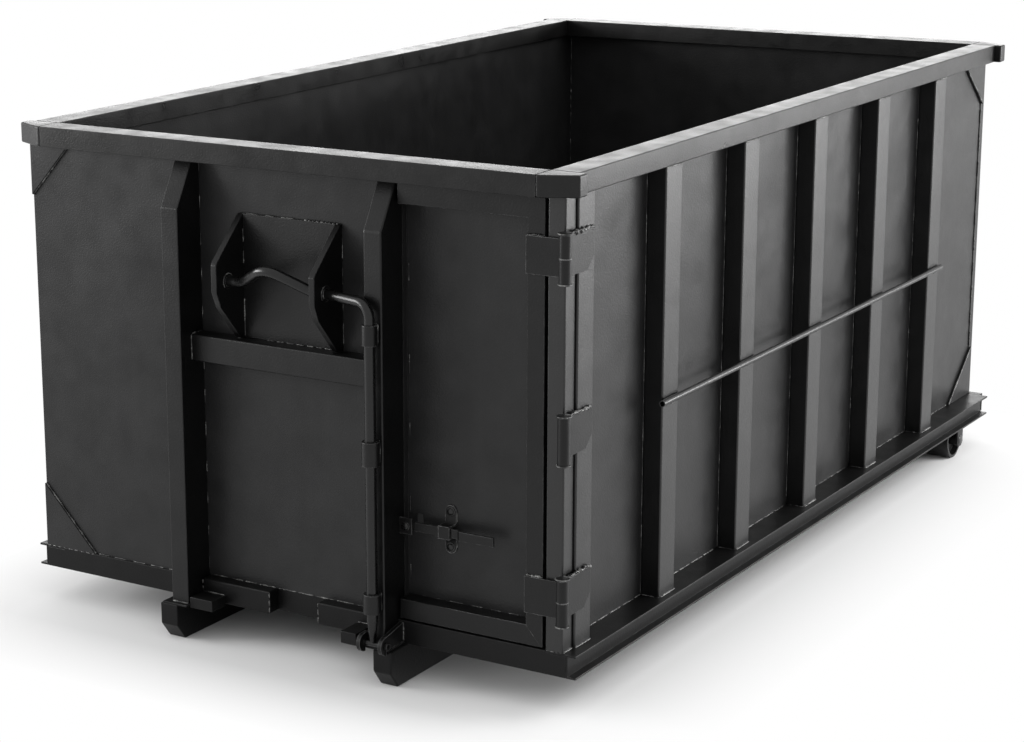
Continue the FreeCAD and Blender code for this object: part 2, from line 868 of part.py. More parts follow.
def hinge_leaves():
    """The three body leaves: lower knuckles at top and bottom, a full-height barrel in the middle."""
    leaves = []
    outer = end_post_outer + hinge_leaf_gauge
    front = door_face + hinge_gap
    rear = end_post_rear - hinge_leaf_inset
    length = hinge_barrel_length - hinge_collar_height
    half = hinge_barrel_length / 2
    for low, knuckle_length in ((top_hinge_low, half), (middle_hinge_low, length), (bottom_hinge_low, half)):
        foot = low + hinge_leaf_start
        head = low + length - hinge_leaf_top_inset
        outline = [
            (end_post_outer, front, head),
            (end_post_outer, rear, head),
            (end_post_outer, rear, foot + hinge_leaf_low_cut),
            (end_post_outer, rear - hinge_leaf_low_cut, foot),
            (end_post_outer, front, foot),
        ]
        plate = prism(outline, AXIS_X * hinge_leaf_gauge)
        arm_top = min(low + knuckle_length, head)
        arm = box(end_post_outer, outer, hinge_axis_y, front, foot, arm_top)
        leaves.append(fuse([plate, arm, barrel(low, low + knuckle_length)]).cut(pin_bore(low)))
    return group(leaves)


def hinge_pins():
    """A pin in each hinge, with a wider head that closes the top of its barrel."""
    pins = []
    for low in (top_hinge_low, middle_hinge_low, bottom_hinge_low):
        neck = low + hinge_barrel_length - hinge_collar_height
        shank = rod(hinge_pin_diameter, (hinge_axis_x, hinge_axis_y, low), (hinge_axis_x, hinge_axis_y, neck))
        head = rod(barrel_diameter + hinge_collar_extra, (hinge_axis_x, hinge_axis_y, neck),
                   (hinge_axis_x, hinge_axis_y, neck + hinge_collar_height))
        pins.append(fuse([shank, head]))
    return group(pins)


# Latch


def latch_catch():
    """A plate welded to the post's side. The latch bar slides behind it to hold the door."""
    back = latch_bar_face - slide_clearance
    half = catch_height / 2
    return box(post_outer, latch_bar_left - catch_gap, back - catch_gauge, back, latch_middle - half,
               latch_middle + half)


def round_bolt(x, face, height):
    """A bolt head that stands on a plate's face."""
    return rod(latch_bolt_diameter, (x, face - latch_bolt_head, height), (x, face, height))


def latch_catch_bolt():
    face = latch_bar_face - slide_clearance - catch_gauge
    return round_bolt((post_outer + latch_bar_left - catch_gap) / 2, face, latch_middle)


def latch_guide():
    """A strap with round ends on the door panel and a raised middle that holds the bar."""
    left = latch_guide_left
    right = latch_guide_right
    middle = (left + right) / 2
    base = door_panel_face - latch_guide_gauge
    inner_half = latch_bar_height / 2 + slide_clearance
    outer_half = inner_half + latch_guide_gauge
    inner_face = latch_bar_face - slide_clearance
    outer_face = inner_face - latch_guide_gauge
    end_reach = latch_guide_half_height - latch_guide_width / 2
    pieces = [box(left, right, outer_face, inner_face, latch_middle - outer_half, latch_middle + outer_half)]
    for side in (-1, 1):
        near = latch_middle + side * inner_half
        far = latch_middle + side * outer_half
        end = latch_middle + side * end_reach
        pieces.append(box(left, right, outer_face, door_panel_face, near, far))
        pieces.append(box(left, right, base, door_panel_face, near, end))
        pieces.append(rod(latch_guide_width, (middle, base, end), (middle, door_panel_face, end)))
    return fuse(pieces)


def latch_guide_bolts():
    bolts = []
    middle = (latch_guide_left + latch_guide_right) / 2
    reach = latch_guide_half_height - latch_guide_width / 2
    for side in (-1, 1):
        bolts.append(round_bolt(middle, door_panel_face - latch_guide_gauge, latch_middle + side * reach))
    return group(bolts)


def latch_bar():
    """The flat sliding bar: a stop lug before the guide, and a handle stepped forward after it."""
    low = latch_middle - latch_bar_height / 2
    handle_face = latch_bar_face - latch_jog_depth
    outline = [
        (latch_bar_left, latch_bar_face, low),
        (latch_jog_start, latch_bar_face, low),
        (latch_jog_end, handle_face, low),
        (latch_handle_end, handle_face, low),
        (latch_handle_end, handle_face + latch_bar_gauge, low),
        (latch_jog_end, handle_face + latch_bar_gauge, low),
        (latch_jog_start, latch_bar_back, low),
        (latch_bar_left, latch_bar_back, low),
    ]
    bar = prism(outline, AXIS_Z * latch_bar_height)
    lug_right = latch_guide_left - slide_clearance
    lug = box(lug_right - latch_lug_width, lug_right, latch_bar_face, latch_bar_back, low - latch_lug_drop, low)
    return fuse([bar, lug])


# Side rail


def side_rail():
    """A tube along the posts' faces, with a short clip under it at each post."""
    axis_x = side_post_outer + side_rail_diameter / 2
    height = above(side_rail_height)
    pieces = [tube(side_rail_diameter, side_rail_diameter - 2 * side_rail_gauge,
                   (axis_x, side_rail_front, height), (axis_x, side_rail_rear, height))]
    reach = side_rail_diameter / 2
    for number in range(side_post_count):
        centre = first_side_post + number * side_post_pitch
        pieces.append(box(side_post_outer, axis_x, centre - rail_clip_width / 2, centre + rail_clip_width / 2,
                          height - reach - rail_clip_gauge, height - reach + side_rail_gauge / 2))
    return fuse(pieces)


# Rear rollers


def roller():
    """A steel drum with a web near each end and a hub that reaches from cheek to cheek."""
    inner_end = roller_inner_end
    outer_end = roller_outer_end
    hub_end = cheek_inner_face - slide_clearance
    shell = tube(roller_diameter, roller_diameter - 2 * roller_wall, (inner_end, roller_centre_y, roller_axis),
                 (outer_end, roller_centre_y, roller_axis))
    pieces = [shell, rod(roller_hub_diameter, (inner_end, roller_centre_y, roller_axis),
                         (hub_end, roller_centre_y, roller_axis))]
    web_diameter = roller_diameter - roller_wall
    for left in (inner_end + roller_web_inset, outer_end - roller_web_inset - roller_web_gauge):
        pieces.append(rod(web_diameter, (left, roller_centre_y, roller_axis),
                          (left + roller_web_gauge, roller_centre_y, roller_axis)))
    bore_start = (inner_end - overrun, roller_centre_y, roller_axis)
    bore_end = (hub_end + overrun, roller_centre_y, roller_axis)
    return fuse(pieces).cut(rod(axle_diameter + 2 * pivot_clearance, bore_start, bore_end))


def cheek(face, top):
    """A plate that hangs beside the roller, with its lower corners cut off."""
    low = roller_axis - cheek_drop
    front = roller_centre_y - cheek_width / 2
    rear = roller_centre_y + cheek_width / 2
    outline = [
        (face, front, top),
        (face, rear, top),
        (face, rear, low + cheek_chamfer),
        (face, rear - cheek_chamfer, low),
        (face, front + cheek_chamfer, low),
        (face, front, low + cheek_chamfer),
    ]
    plate = prism(outline, AXIS_X * cheek_gauge)
    start = (face - overrun, roller_centre_y, roller_axis)
    return plate.cut(rod(axle_diameter, start, (face + cheek_gauge + overrun, roller_centre_y, roller_axis)))


def roller_bracket():
    inner_cheek = roller_inner_end - slide_clearance - cheek_gauge
    return group([cheek(cheek_inner_face, frame_underside), cheek(inner_cheek, frame_top)])


def roller_axles():
    start = (roller_inner_end - slide_clearance - cheek_gauge, roller_centre_y, roller_axis)
    end = (cheek_outer_face, roller_centre_y, roller_axis)
    head_end = (cheek_outer_face + axle_head_gauge, roller_centre_y, roller_axis)
    axle = fuse([rod(axle_diameter, start, end), rod(axle_head_diameter, end, head_end)])
    return group([axle, mirror_x(axle)])


def save(name, shape):
    placed = shape.copy()
    placed.translate(Vec(0, -mid_y, 0))
    placed.exportStep("parts/" + name + ".step")


def save_pair(name, shape):
    save(name + "_right", shape)
    save(name + "_left", mirror_x(shape))


def main():
    os.makedirs("parts", exist_ok=True)
    save("floor_plate", floor_plate())
    save("floor_cross_members", floor_cross_members())
    save_pair("sill", sill())
    save("front_cross_member", front_cross_member())
    save("rear_cross_member", rear_cross_member())
    save_pair("runner", runner())
    save("nose_plates", nose_plates())
    save("side_wall_left", mirror_x(side_wall()))
    save("side_wall_right", right_side_wall())
    save("rear_wall", rear_wall())
    save("front_panel_left", left_front_panel())
    save("front_panel_centre", centre_front_panel())
    save("end_post_right", end_post(hinge_post_back))
    save("end_post_left", mirror_x(end_post(panel_left_back)))
    save_pair("side_posts", side_posts())
    save("hinge_post", hinge_post())
    save("gusset_plates", gusset_plates())
    save("rim_front", cross_rim(0))
    save("rim_rear", cross_rim(rim_length - rim_depth))
    save_pair("rim_side", side_rim())
    save_pair("rim_cap_front", corner_cap())
    save_pair("rim_cap_rear", rear_corner_cap())
    save_pair("front_post", front_post())
    save("cross_beam", cross_beam())
    save("hook_back_plate", back_plate())
    save_pair("hook_ear", ear())
    save("ear_collars", ear_collars())
    save("hook_bail", bail())
    save("rod_sleeves", rod_sleeves())
    save("lock_rod", lock_rod())
    save("clevis_bracket", clevis_bracket())
    save("clevis_pin", clevis_pin())
    save("stop_bars", stop_bars())
    save("base_lug_left", left_lug())
    save("base_lug_right", right_lug())
    save("door_frame", door_frame())
    save("door_panel", door_panel())
    save("hinge_straps", hinge_straps())
    save("hinge_leaves", hinge_leaves())
    save("hinge_pins", hinge_pins())
    save("latch_catch", latch_catch())
    save("latch_catch_bolt", latch_catch_bolt())
    save("latch_guide", latch_guide())
    save("latch_guide_bolts", latch_guide_bolts())
    save("latch_bar", latch_bar())
    save_pair("side_rail", side_rail())
    save_pair("roller_bracket", roller_bracket())
    save("roller_axles", roller_axles())
    save_pair("roller", roller())


main()
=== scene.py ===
import json
import math
import random

import bmesh
import bpy
from bpy.props import FloatProperty, FloatVectorProperty, IntProperty, PointerProperty
from bpy.types import Operator, Panel, PropertyGroup
from mathutils import Matrix, Vector

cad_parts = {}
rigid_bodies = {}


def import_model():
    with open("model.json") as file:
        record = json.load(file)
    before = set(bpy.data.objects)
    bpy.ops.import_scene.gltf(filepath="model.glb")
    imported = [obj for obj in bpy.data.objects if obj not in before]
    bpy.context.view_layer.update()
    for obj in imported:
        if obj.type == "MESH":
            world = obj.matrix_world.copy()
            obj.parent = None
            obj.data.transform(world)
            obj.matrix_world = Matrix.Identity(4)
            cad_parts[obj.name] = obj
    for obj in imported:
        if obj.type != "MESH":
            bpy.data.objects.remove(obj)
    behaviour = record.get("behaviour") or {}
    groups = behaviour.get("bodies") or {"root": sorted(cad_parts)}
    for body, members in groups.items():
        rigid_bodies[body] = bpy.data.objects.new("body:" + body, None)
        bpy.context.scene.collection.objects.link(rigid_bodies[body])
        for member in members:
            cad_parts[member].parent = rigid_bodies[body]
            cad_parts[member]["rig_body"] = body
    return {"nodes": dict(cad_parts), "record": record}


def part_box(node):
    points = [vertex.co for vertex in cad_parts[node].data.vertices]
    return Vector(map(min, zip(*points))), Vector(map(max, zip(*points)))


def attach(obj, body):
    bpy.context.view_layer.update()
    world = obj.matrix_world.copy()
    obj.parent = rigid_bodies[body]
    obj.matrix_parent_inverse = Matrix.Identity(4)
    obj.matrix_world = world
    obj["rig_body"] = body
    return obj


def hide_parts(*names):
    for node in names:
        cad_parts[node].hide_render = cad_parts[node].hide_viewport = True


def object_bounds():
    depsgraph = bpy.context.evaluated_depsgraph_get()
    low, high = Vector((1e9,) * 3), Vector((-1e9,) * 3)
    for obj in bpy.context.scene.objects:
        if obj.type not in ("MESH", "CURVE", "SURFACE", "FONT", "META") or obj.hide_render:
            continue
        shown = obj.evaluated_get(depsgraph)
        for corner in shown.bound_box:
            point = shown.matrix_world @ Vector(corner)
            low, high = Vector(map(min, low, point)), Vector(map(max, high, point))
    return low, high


bl_info = {
    "name": "Roll-off container",
    "version": (1, 0, 0),
    "blender": (4, 5, 0),
    "location": "View3D > Sidebar > Container",
    "description": "Rounded steel, weld beads and satin black paint for a hook-lift roll-off container",
    "category": "Object",
}

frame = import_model()
NODES = frame["nodes"]
CAD_BOX = [list(corner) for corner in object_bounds()]


def edges_of(node):
    """The lowest and highest corner of a node, as six numbers: x0, x1, y0, y1, z0, z1."""
    low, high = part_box(node)
    return low.x, high.x, low.y, high.y, low.z, high.z


def middle_of(node):
    """The middle of a node's box."""
    x0, x1, y0, y1, z0, z1 = edges_of(node)
    return (x0 + x1) / 2, (y0 + y1) / 2, (z0 + z1) / 2


# Settings


class ContainerPaint(PropertyGroup):
    panel_colour: FloatVectorProperty(
        name="Panel paint", description="Satin black on the flat sheets", subtype="COLOR", size=3,
        default=(0.0110, 0.0110, 0.0112), min=0.0, max=1.0)
    frame_colour: FloatVectorProperty(
        name="Frame paint", description="Satin black on posts, rails and floor frame", subtype="COLOR", size=3,
        default=(0.0022, 0.0022, 0.0023), min=0.0, max=1.0)
    dust_colour: FloatVectorProperty(
        name="Dust", description="Pale dust that lies on the paint", subtype="COLOR", size=3,
        default=(0.20, 0.195, 0.185), min=0.0, max=1.0)
    roughness: FloatProperty(
        name="Paint roughness", description="How matt the paint is", default=0.36, min=0.05, max=1.0)
    peel_height: FloatProperty(
        name="Orange peel", description="Height of the fine ripple in the sprayed paint", default=0.0011,
        min=0.0, max=0.002, subtype="DISTANCE", unit="LENGTH")


class ContainerSteel(PropertyGroup):
    tube_radius: FloatProperty(
        name="Tube corner", description="Outer corner radius of the rolled tubes", default=0.007, min=0.001,
        max=0.02, subtype="DISTANCE", unit="LENGTH")
    plate_radius: FloatProperty(
        name="Plate edge", description="Worn edge radius of cut plates", default=0.0022, min=0.0005, max=0.01,
        subtype="DISTANCE", unit="LENGTH")
    corner_steps: IntProperty(
        name="Corner steps", description="Faces round each softened corner", default=3, min=1, max=8)


class ContainerWelds(PropertyGroup):
    bead_radius: FloatProperty(
        name="Bead radius", description="Half the width of a common weld bead", default=0.0055, min=0.001,
        max=0.02, subtype="DISTANCE", unit="LENGTH")
    ripple_pitch: FloatProperty(
        name="Ripple pitch", description="Distance between two ripples of a bead", default=0.007, min=0.002,
        max=0.03, subtype="DISTANCE", unit="LENGTH")


class ContainerStage(PropertyGroup):
    floor_colour: FloatVectorProperty(
        name="Floor", description="Colour of the plain floor", subtype="COLOR", size=3,
        default=(0.72, 0.72, 0.72), min=0.0, max=1.0)
    sky_level: FloatProperty(
        name="Sky level", description="Brightness of the world on the object", default=1.1, min=0.0, max=2.0)
    key_power: FloatProperty(
        name="Key lamp", description="Power of the large lamp above the right side", default=560.0,
        min=0.0, max=20000.0, unit="POWER")
    side_power: FloatProperty(
        name="Side lamp", description="Power of the low lamp that lights the right side", default=1250.0,
        min=0.0, max=20000.0, unit="POWER")
    rear_power: FloatProperty(
        name="Rear lamp", description="Power of the low lamp behind, which skims the rim", default=900.0,
        min=0.0, max=20000.0, unit="POWER")
    fill_power: FloatProperty(
        name="Fill lamp", description="Power of the soft lamp in front", default=820.0, min=0.0, max=20000.0,
        unit="POWER")


def settings(context):
    scene = context.scene
    return scene.container_paint, scene.container_steel, scene.container_welds, scene.container_stage


# Shader groups


class Wiring:
    """Short words for making and joining nodes in one tree."""

    def __init__(self, tree):
        self.tree = tree

    def add(self, kind, **values):
        node = self.tree.nodes.new(kind)
        for name, value in values.items():
            setattr(node, name, value)
        return node

    def join(self, start, end):
        self.tree.links.new(start, end)

    def filled(self, kind, inputs, **values):
        """A node whose inputs are named: a number or colour is set, and a socket is joined."""
        node = self.add(kind, **values)
        for name, value in inputs.items():
            if isinstance(value, bpy.types.NodeSocket):
                self.join(value, node.inputs[name])
            else:
                node.inputs[name].default_value = value
        return node

    def noise(self, vector, scale, detail=3.0, roughness=0.5):
        inputs = {"Vector": vector, "Scale": scale, "Detail": detail, "Roughness": roughness}
        return self.filled("ShaderNodeTexNoise", inputs).outputs["Fac"]

    def ramp(self, value, low, high, out_low=0.0, out_high=1.0):
        inputs = {"Value": value, "From Min": low, "From Max": high, "To Min": out_low, "To Max": out_high}
        return self.filled("ShaderNodeMapRange", inputs, clamp=True).outputs["Result"]

    def maths(self, operation, first, second=None):
        inputs = {0: first} if second is None else {0: first, 1: second}
        return self.filled("ShaderNodeMath", inputs, operation=operation).outputs[0]

    def vectors(self, operation, first, second=None):
        inputs = {0: first} if second is None else {0: first, 1: second}
        answers = self.filled("ShaderNodeVectorMath", inputs, operation=operation).outputs
        return answers["Value" if operation in ("LENGTH", "DOT_PRODUCT") else "Vector"]

    def stretch(self, vector, scale):
        return self.filled("ShaderNodeMapping", {"Vector": vector, "Scale": scale}).outputs["Vector"]

    def mix(self, share, first, second):
        """Two colours mixed by a share. The node's colour sockets are numbers 6 and 7, and 2 going out."""
        return self.filled("ShaderNodeMix", {0: share, 6: first, 7: second}, data_type="RGBA").outputs[2]

    def blend(self, share, first, second):
        """Two shaders mixed by a share."""
        return self.filled("ShaderNodeMixShader", {0: share, 1: first, 2: second}).outputs[0]

    def bump(self, height, strength, distance):
        inputs = {"Height": height, "Strength": strength, "Distance": distance}
        return self.filled("ShaderNodeBump", inputs).outputs["Normal"]


def shader_tree(name, inputs, outputs):
    """A new group: its wiring, its start and its end. A value has its default, its lowest and its highest."""
    group = bpy.data.node_groups.new(name, "ShaderNodeTree")
    for title, value in inputs.items():
        colour = len(value) == 4
        kind = "NodeSocketColor" if colour else "NodeSocketFloat"
        made = group.interface.new_socket(name=title, in_out="INPUT", socket_type=kind)
        if colour:
            made.default_value = value
        else:
            made.default_value, made.min_value, made.max_value = value
    for title in outputs:
        kind = "NodeSocketColor" if title == "Colour" else "NodeSocketFloat"
        group.interface.new_socket(name=title, in_out="OUTPUT", socket_type=kind)
    w = Wiring(group)
    return w, w.add("NodeGroupInput").outputs, w.add("NodeGroupOutput").inputs


def sprayed_paint_group():
    """Satin paint sprayed on steel: orange peel, soft waves in the sheet, rain streaks and dust."""
    w, given, made = shader_tree("Sprayed paint", {
        "Paint": (0.03, 0.03, 0.03, 1.0), "Dust Colour": (0.2, 0.2, 0.19, 1.0),
        "Dust Amount": (0.2, 0.0, 1.0), "Streak Amount": (0.2, 0.0, 1.0), "Roughness": (0.36, 0.0, 1.0),
        "Peel Scale": (150.0, 1.0, 2000.0), "Wave Height": (0.0, 0.0, 1.0),
    }, ("Colour", "Roughness", "Height"))
    place = w.add("ShaderNodeTexCoord").outputs["Object"]
    normal = w.add("ShaderNodeNewGeometry").outputs["Normal"]
    facing_up = w.ramp(w.filled("ShaderNodeSeparateXYZ", {0: normal}).outputs["Z"], 0.3, 0.95)

    blotch = w.ramp(w.noise(place, 2.6, 5.0, 0.6), 0.38, 0.68)
    speck = w.ramp(w.noise(place, 85.0, 4.0, 0.7), 0.52, 0.74)
    streak = w.ramp(w.noise(w.stretch(place, (17.0, 17.0, 0.9)), 1.0, 4.0, 0.6), 0.50, 0.72)
    settled = w.maths("MULTIPLY", facing_up, w.maths("ADD", w.maths("MULTIPLY", blotch, 0.7), 0.3))
    on_wall = w.maths("MULTIPLY", w.maths("MULTIPLY", blotch, 0.45), w.maths("ADD", speck, 0.35))
    lying = w.maths("ADD", w.maths("MULTIPLY", settled, 0.45), w.maths("MULTIPLY", on_wall, 0.5))
    dust = w.maths("MULTIPLY", lying, given["Dust Amount"])
    runs = w.maths("MULTIPLY", w.maths("MULTIPLY", streak, given["Streak Amount"]), 0.3)
    share = w.maths("MINIMUM", w.maths("ADD", dust, runs), 1.0)
    tone = w.ramp(w.noise(place, 7.0, 3.0), 0.3, 0.7, 0.82, 1.18)
    shade = w.filled("ShaderNodeVectorMath", {0: given["Paint"], "Scale": tone}, operation="SCALE").outputs[0]
    w.join(w.mix(share, shade, given["Dust Colour"]), made["Colour"])

    gloss = w.ramp(w.noise(place, 11.0, 4.0), 0.3, 0.7, -0.05, 0.06)
    dull = w.maths("MULTIPLY", share, 0.35)
    w.join(w.maths("ADD", w.maths("ADD", given["Roughness"], gloss), dull), made["Roughness"])

    peel = w.noise(place, given["Peel Scale"], 2.0)
    wave = w.maths("MULTIPLY", w.noise(place, 2.1, 2.0), given["Wave Height"])
    w.join(w.maths("ADD", peel, w.maths("MULTIPLY", wave, 40.0)), made["Height"])
    return w.tree


def edge_abrasion_and_highlight_group():
    """Paler paint along the outer edges: partly abraded paint, where the grey undercoat shows through, and
    partly a painted highlight, where the rounded edges catch the light.
    """
    w, given, made = shader_tree("Abraded and highlighted edges", {
        "Colour": (0.03, 0.03, 0.03, 1.0), "Abraded And Highlight Colour": (0.16, 0.16, 0.16, 1.0),
        "Amount": (0.5, 0.0, 1.0), "Width": (0.004, 0.0, 0.05),
    }, ("Colour",))
    place = w.add("ShaderNodeTexCoord").outputs["Object"]
    soft = w.filled("ShaderNodeBevel", {"Radius": given["Width"]}, samples=6).outputs["Normal"]
    flat = w.add("ShaderNodeNewGeometry").outputs["Normal"]
    turn = w.vectors("DOT_PRODUCT", soft, flat)
    # The band along the edges is paled partly as abraded paint and partly as a painted highlight.
    bend = w.ramp(turn, 0.99, 0.90)
    patch = w.ramp(w.noise(place, 30.0, 5.0, 0.7), 0.42, 0.66, 0.15, 1.0)
    share = w.maths("MULTIPLY", w.maths("MULTIPLY", bend, patch), given["Amount"])
    w.join(w.mix(share, given["Colour"], given["Abraded And Highlight Colour"]), made["Colour"])
    return w.tree


def weld_metal_group():
    """Painted weld bead: a rougher, paler skin with spatter."""
    w, given, made = shader_tree("Weld skin", {
        "Paint": (0.05, 0.05, 0.05, 1.0), "Pale": (0.3, 0.3, 0.3, 1.0), "Amount": (0.4, 0.0, 1.0),
    }, ("Colour", "Height"))
    place = w.add("ShaderNodeTexCoord").outputs["Object"]
    grain = w.noise(place, 140.0, 4.0, 0.7)
    patch = w.ramp(w.noise(place, 24.0, 4.0, 0.7), 0.46, 0.62)
    pale = w.maths("MULTIPLY", patch, w.ramp(grain, 0.4, 0.6, 0.4, 1.0))
    share = w.maths("MULTIPLY", pale, given["Amount"])
    w.join(w.mix(share, given["Paint"], given["Pale"]), made["Colour"])
    w.join(grain, made["Height"])
    return w.tree


# Materials

GROUPS = {}


def shader_group(name, maker):
    if name not in GROUPS:
        GROUPS[name] = maker()
    return GROUPS[name]


def bare_material(name):
    """A material with only its output and the shader that feeds it."""
    material = bpy.data.materials.new(name)
    material.use_nodes = True
    material.node_tree.nodes.clear()
    w = Wiring(material.node_tree)
    shader = w.add("ShaderNodeBsdfPrincipled")
    w.filled("ShaderNodeOutputMaterial", {"Surface": shader.outputs[0]})
    return material, w, shader.inputs


def painted_steel(name, paint, dust, roughness, dust_amount, streaks, abrasion_and_highlight_amount, peel, wave=0.0, abraded_and_highlight_grey=0.15,
                  abrasion_and_highlight_width=0.004, specular=0.32):
    """A satin painted steel made from the paint and edge groups."""
    material, w, shader = bare_material(name)
    coat = w.filled("ShaderNodeGroup", {
        "Paint": (*paint, 1.0), "Dust Colour": (*dust, 1.0), "Dust Amount": dust_amount,
        "Streak Amount": streaks, "Roughness": roughness, "Wave Height": wave,
    }, node_tree=shader_group("paint", sprayed_paint_group)).outputs
    # The paler edge band is partly abraded paint and partly a painted highlight where edges catch the light.
    abraded_and_highlit = w.filled("ShaderNodeGroup", {
        "Colour": coat["Colour"], "Abraded And Highlight Colour": (abraded_and_highlight_grey, abraded_and_highlight_grey, abraded_and_highlight_grey, 1.0), "Amount": abrasion_and_highlight_amount,
        "Width": abrasion_and_highlight_width,
    }, node_tree=shader_group("edges", edge_abrasion_and_highlight_group)).outputs
    shader["Specular IOR Level"].default_value = specular
    w.join(abraded_and_highlit["Colour"], shader["Base Color"])
    w.join(coat["Roughness"], shader["Roughness"])
    w.join(w.bump(coat["Height"], strength=0.6, distance=peel), shader["Normal"])
    return material


def weld_paint(paint):
    """The paint on weld beads, from the weld group."""
    material, w, shader = bare_material("Weld beads")
    coat = w.filled("ShaderNodeGroup", {
        "Paint": (*paint, 1.0), "Pale": (0.34, 0.34, 0.33, 1.0), "Amount": 0.55,
    }, node_tree=shader_group("weld", weld_metal_group)).outputs
    shader["Roughness"].default_value = 0.34
    w.join(coat["Colour"], shader["Base Color"])
    w.join(w.bump(coat["Height"], strength=0.5, distance=0.0006), shader["Normal"])
    return material


PAINTS = {}


def paint_of(node):
    """The slot of a node in the record, and the paint of that slot."""
    slots = {entry["node"]: entry["material_slot"] for entry in frame["record"]["subparts"]}
    return slots[node], PAINTS[slots[node]]


# Rounded steel


def mesh_of(bm, name):
    """Closes a form into a mesh."""
    mesh = bpy.data.meshes.new(name)
    bm.to_mesh(mesh)
    bm.free()
    return mesh


def placed(name, data):
    """An object in the scene that shows a mesh, a lamp or a camera."""
    made = bpy.data.objects.new(name, data)
    bpy.context.scene.collection.objects.link(made)
    return made


def long_outer_edges(bm, width):
    """The convex edges of a solid that are long enough, and lie between faces wide enough, to be rounded."""
    picked = []
    for edge in bm.edges:
        if len(edge.link_faces) != 2 or edge.calc_length() < 2.5 * width:
            continue
        if not edge.is_convex or edge.calc_face_angle(0.0) < math.radians(25):
            continue
        narrow = False
        for face in edge.link_faces:
            longest = max(side.calc_length() for side in face.edges)
            if face.calc_area() / longest < 1.9 * width:
                narrow = True
        if not narrow:
            picked.append(edge)
    return picked


def rounded_copy(node, width, steps):
    """A copy of a node whose outer edges are rounded. It stands for the node."""
    bm = bmesh.new()
    bm.from_mesh(NODES[node].data)
    bmesh.ops.remove_doubles(bm, verts=bm.verts, dist=2e-5)
    bmesh.ops.dissolve_limit(bm, angle_limit=math.radians(0.5), verts=bm.verts, edges=bm.edges)
    bmesh.ops.bevel(bm, geom=long_outer_edges(bm, width), offset=width, segments=steps, profile=0.5,
                    affect="EDGES", clamp_overlap=True)
    finish_piece(bm, node + "_rounded", node)


def finish_piece(bm, name, node, sharp=38):
    """Smooths the rounded corners, keeps the flats flat, and puts the piece in the node's place."""
    mesh = mesh_of(bm, name)
    for face in mesh.polygons:
        face.use_smooth = True
    mesh.set_sharp_from_angle(angle=math.radians(sharp))
    piece = placed(name, mesh)
    weights = piece.modifiers.new("Flat faces", "WEIGHTED_NORMAL")
    weights.keep_sharp = True
    slot, paint = paint_of(node)
    mesh.materials.append(paint)
    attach(piece, NODES[node]["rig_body"])
    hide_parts(node)


# Turned and bent pieces


def circle_points(bm, centre, first, second, radius, steps):
    """A ring of points round a centre, in the plane of two directions."""
    points = []
    for number in range(steps):
        angle = 2 * math.pi * number / steps
        points.append(bm.verts.new(centre + (first * math.cos(angle) + second * math.sin(angle)) * radius))
    return points


def skin(bm, rings, closed=False):
    """Faces from ring to ring, and from the last to the first or over both ends."""
    for first, second in zip(rings, rings[1:] + rings[:1] if closed else rings[1:]):
        for number in range(len(first)):
            after = (number + 1) % len(first)
            bm.faces.new((first[number], first[after], second[after], second[number]))
    if not closed:
        bm.faces.new(list(reversed(rings[0])))
        bm.faces.new(rings[-1])


def turned(bm, start, axis, profile, steps=40, closed=False):
    """A turned form: pairs of distance along the axis and radius. A closed one is hollow."""
    start = Vector(start)
    axis = Vector(axis).normalized()
    first = axis.orthogonal().normalized()
    if abs(axis.x) > 0.9:
        first = Vector((0, 1, 0))
    second = axis.cross(first)
    rings = []
    for along, radius in profile:
        rings.append(circle_points(bm, start + axis * along, first, second, radius, steps))
    skin(bm, rings, closed)


def soft_tube(length, inner, outer, soft):
    """The profile of a tube whose outer edges are softened."""
    third = soft * 0.3
    return [(0, inner), (0, outer - soft), (third, outer - third), (soft, outer), (length - soft, outer),
            (length - third, outer - third), (length, outer - soft), (length, inner)]


def soft_disc(length, radius, soft):
    """The profile of a solid disc or bar whose edges are softened."""
    third = soft * 0.3
    return [(0, radius - soft), (third, radius - third), (soft, radius), (length - soft, radius),
            (length - third, radius - third), (length, radius - soft)]


def domed_head(height, radius):
    """The profile of a round head with a domed face, on a thin washer."""
    rim = height * 0.35
    profile = [(0, radius * 1.28), (rim * 0.5, radius * 1.3), (rim * 0.7, radius * 1.24),
               (rim * 0.75, radius)]
    for step in range(1, 7):
        angle = math.pi / 2 * step / 6
        profile.append((rim + (height - rim) * math.sin(angle), radius * max(math.cos(angle), 0.02)))
    return profile


def bend_path(points, radius, steps=12):
    """Points along straight runs joined by tangent arcs."""
    corners = [Vector(p) for p in points]
    path = [corners[0]]
    for before, corner, after in zip(corners, corners[1:], corners[2:]):
        back = (before - corner).normalized()
        ahead = (after - corner).normalized()
        half = back.angle(ahead) / 2
        reach = radius / math.tan(half)
        middle = corner + (back + ahead).normalized() * (radius / math.sin(half))
        start = corner + back * reach - middle
        end = corner + ahead * reach - middle
        sweep = start.angle(end)
        for step in range(steps + 1):
            share = step / steps
            spoke = start * math.sin((1 - share) * sweep) + end * math.sin(share * sweep)
            path.append(middle + spoke / math.sin(sweep))
    path.append(corners[-1])
    return path


def swept(bm, path, radius, sides=28):
    """A round bar along a path."""
    rings = []
    side = (path[1] - path[0]).orthogonal().normalized()
    for number, point in enumerate(path):
        before = path[max(number - 1, 0)]
        after = path[min(number + 1, len(path) - 1)]
        along = (after - before).normalized()
        side = (side - along * side.dot(along)).normalized()
        rings.append(circle_points(bm, point, side, along.cross(side), radius, sides))
    skin(bm, rings)


def block(bm, low, high):
    """A plain packing block under a turned piece."""
    made = bmesh.ops.create_cube(bm, size=1.0)
    low, high = Vector(low), Vector(high)
    for vert in made["verts"]:
        vert.co = Vector(low[i] + (high[i] - low[i]) * (vert.co[i] + 0.5) for i in range(3))


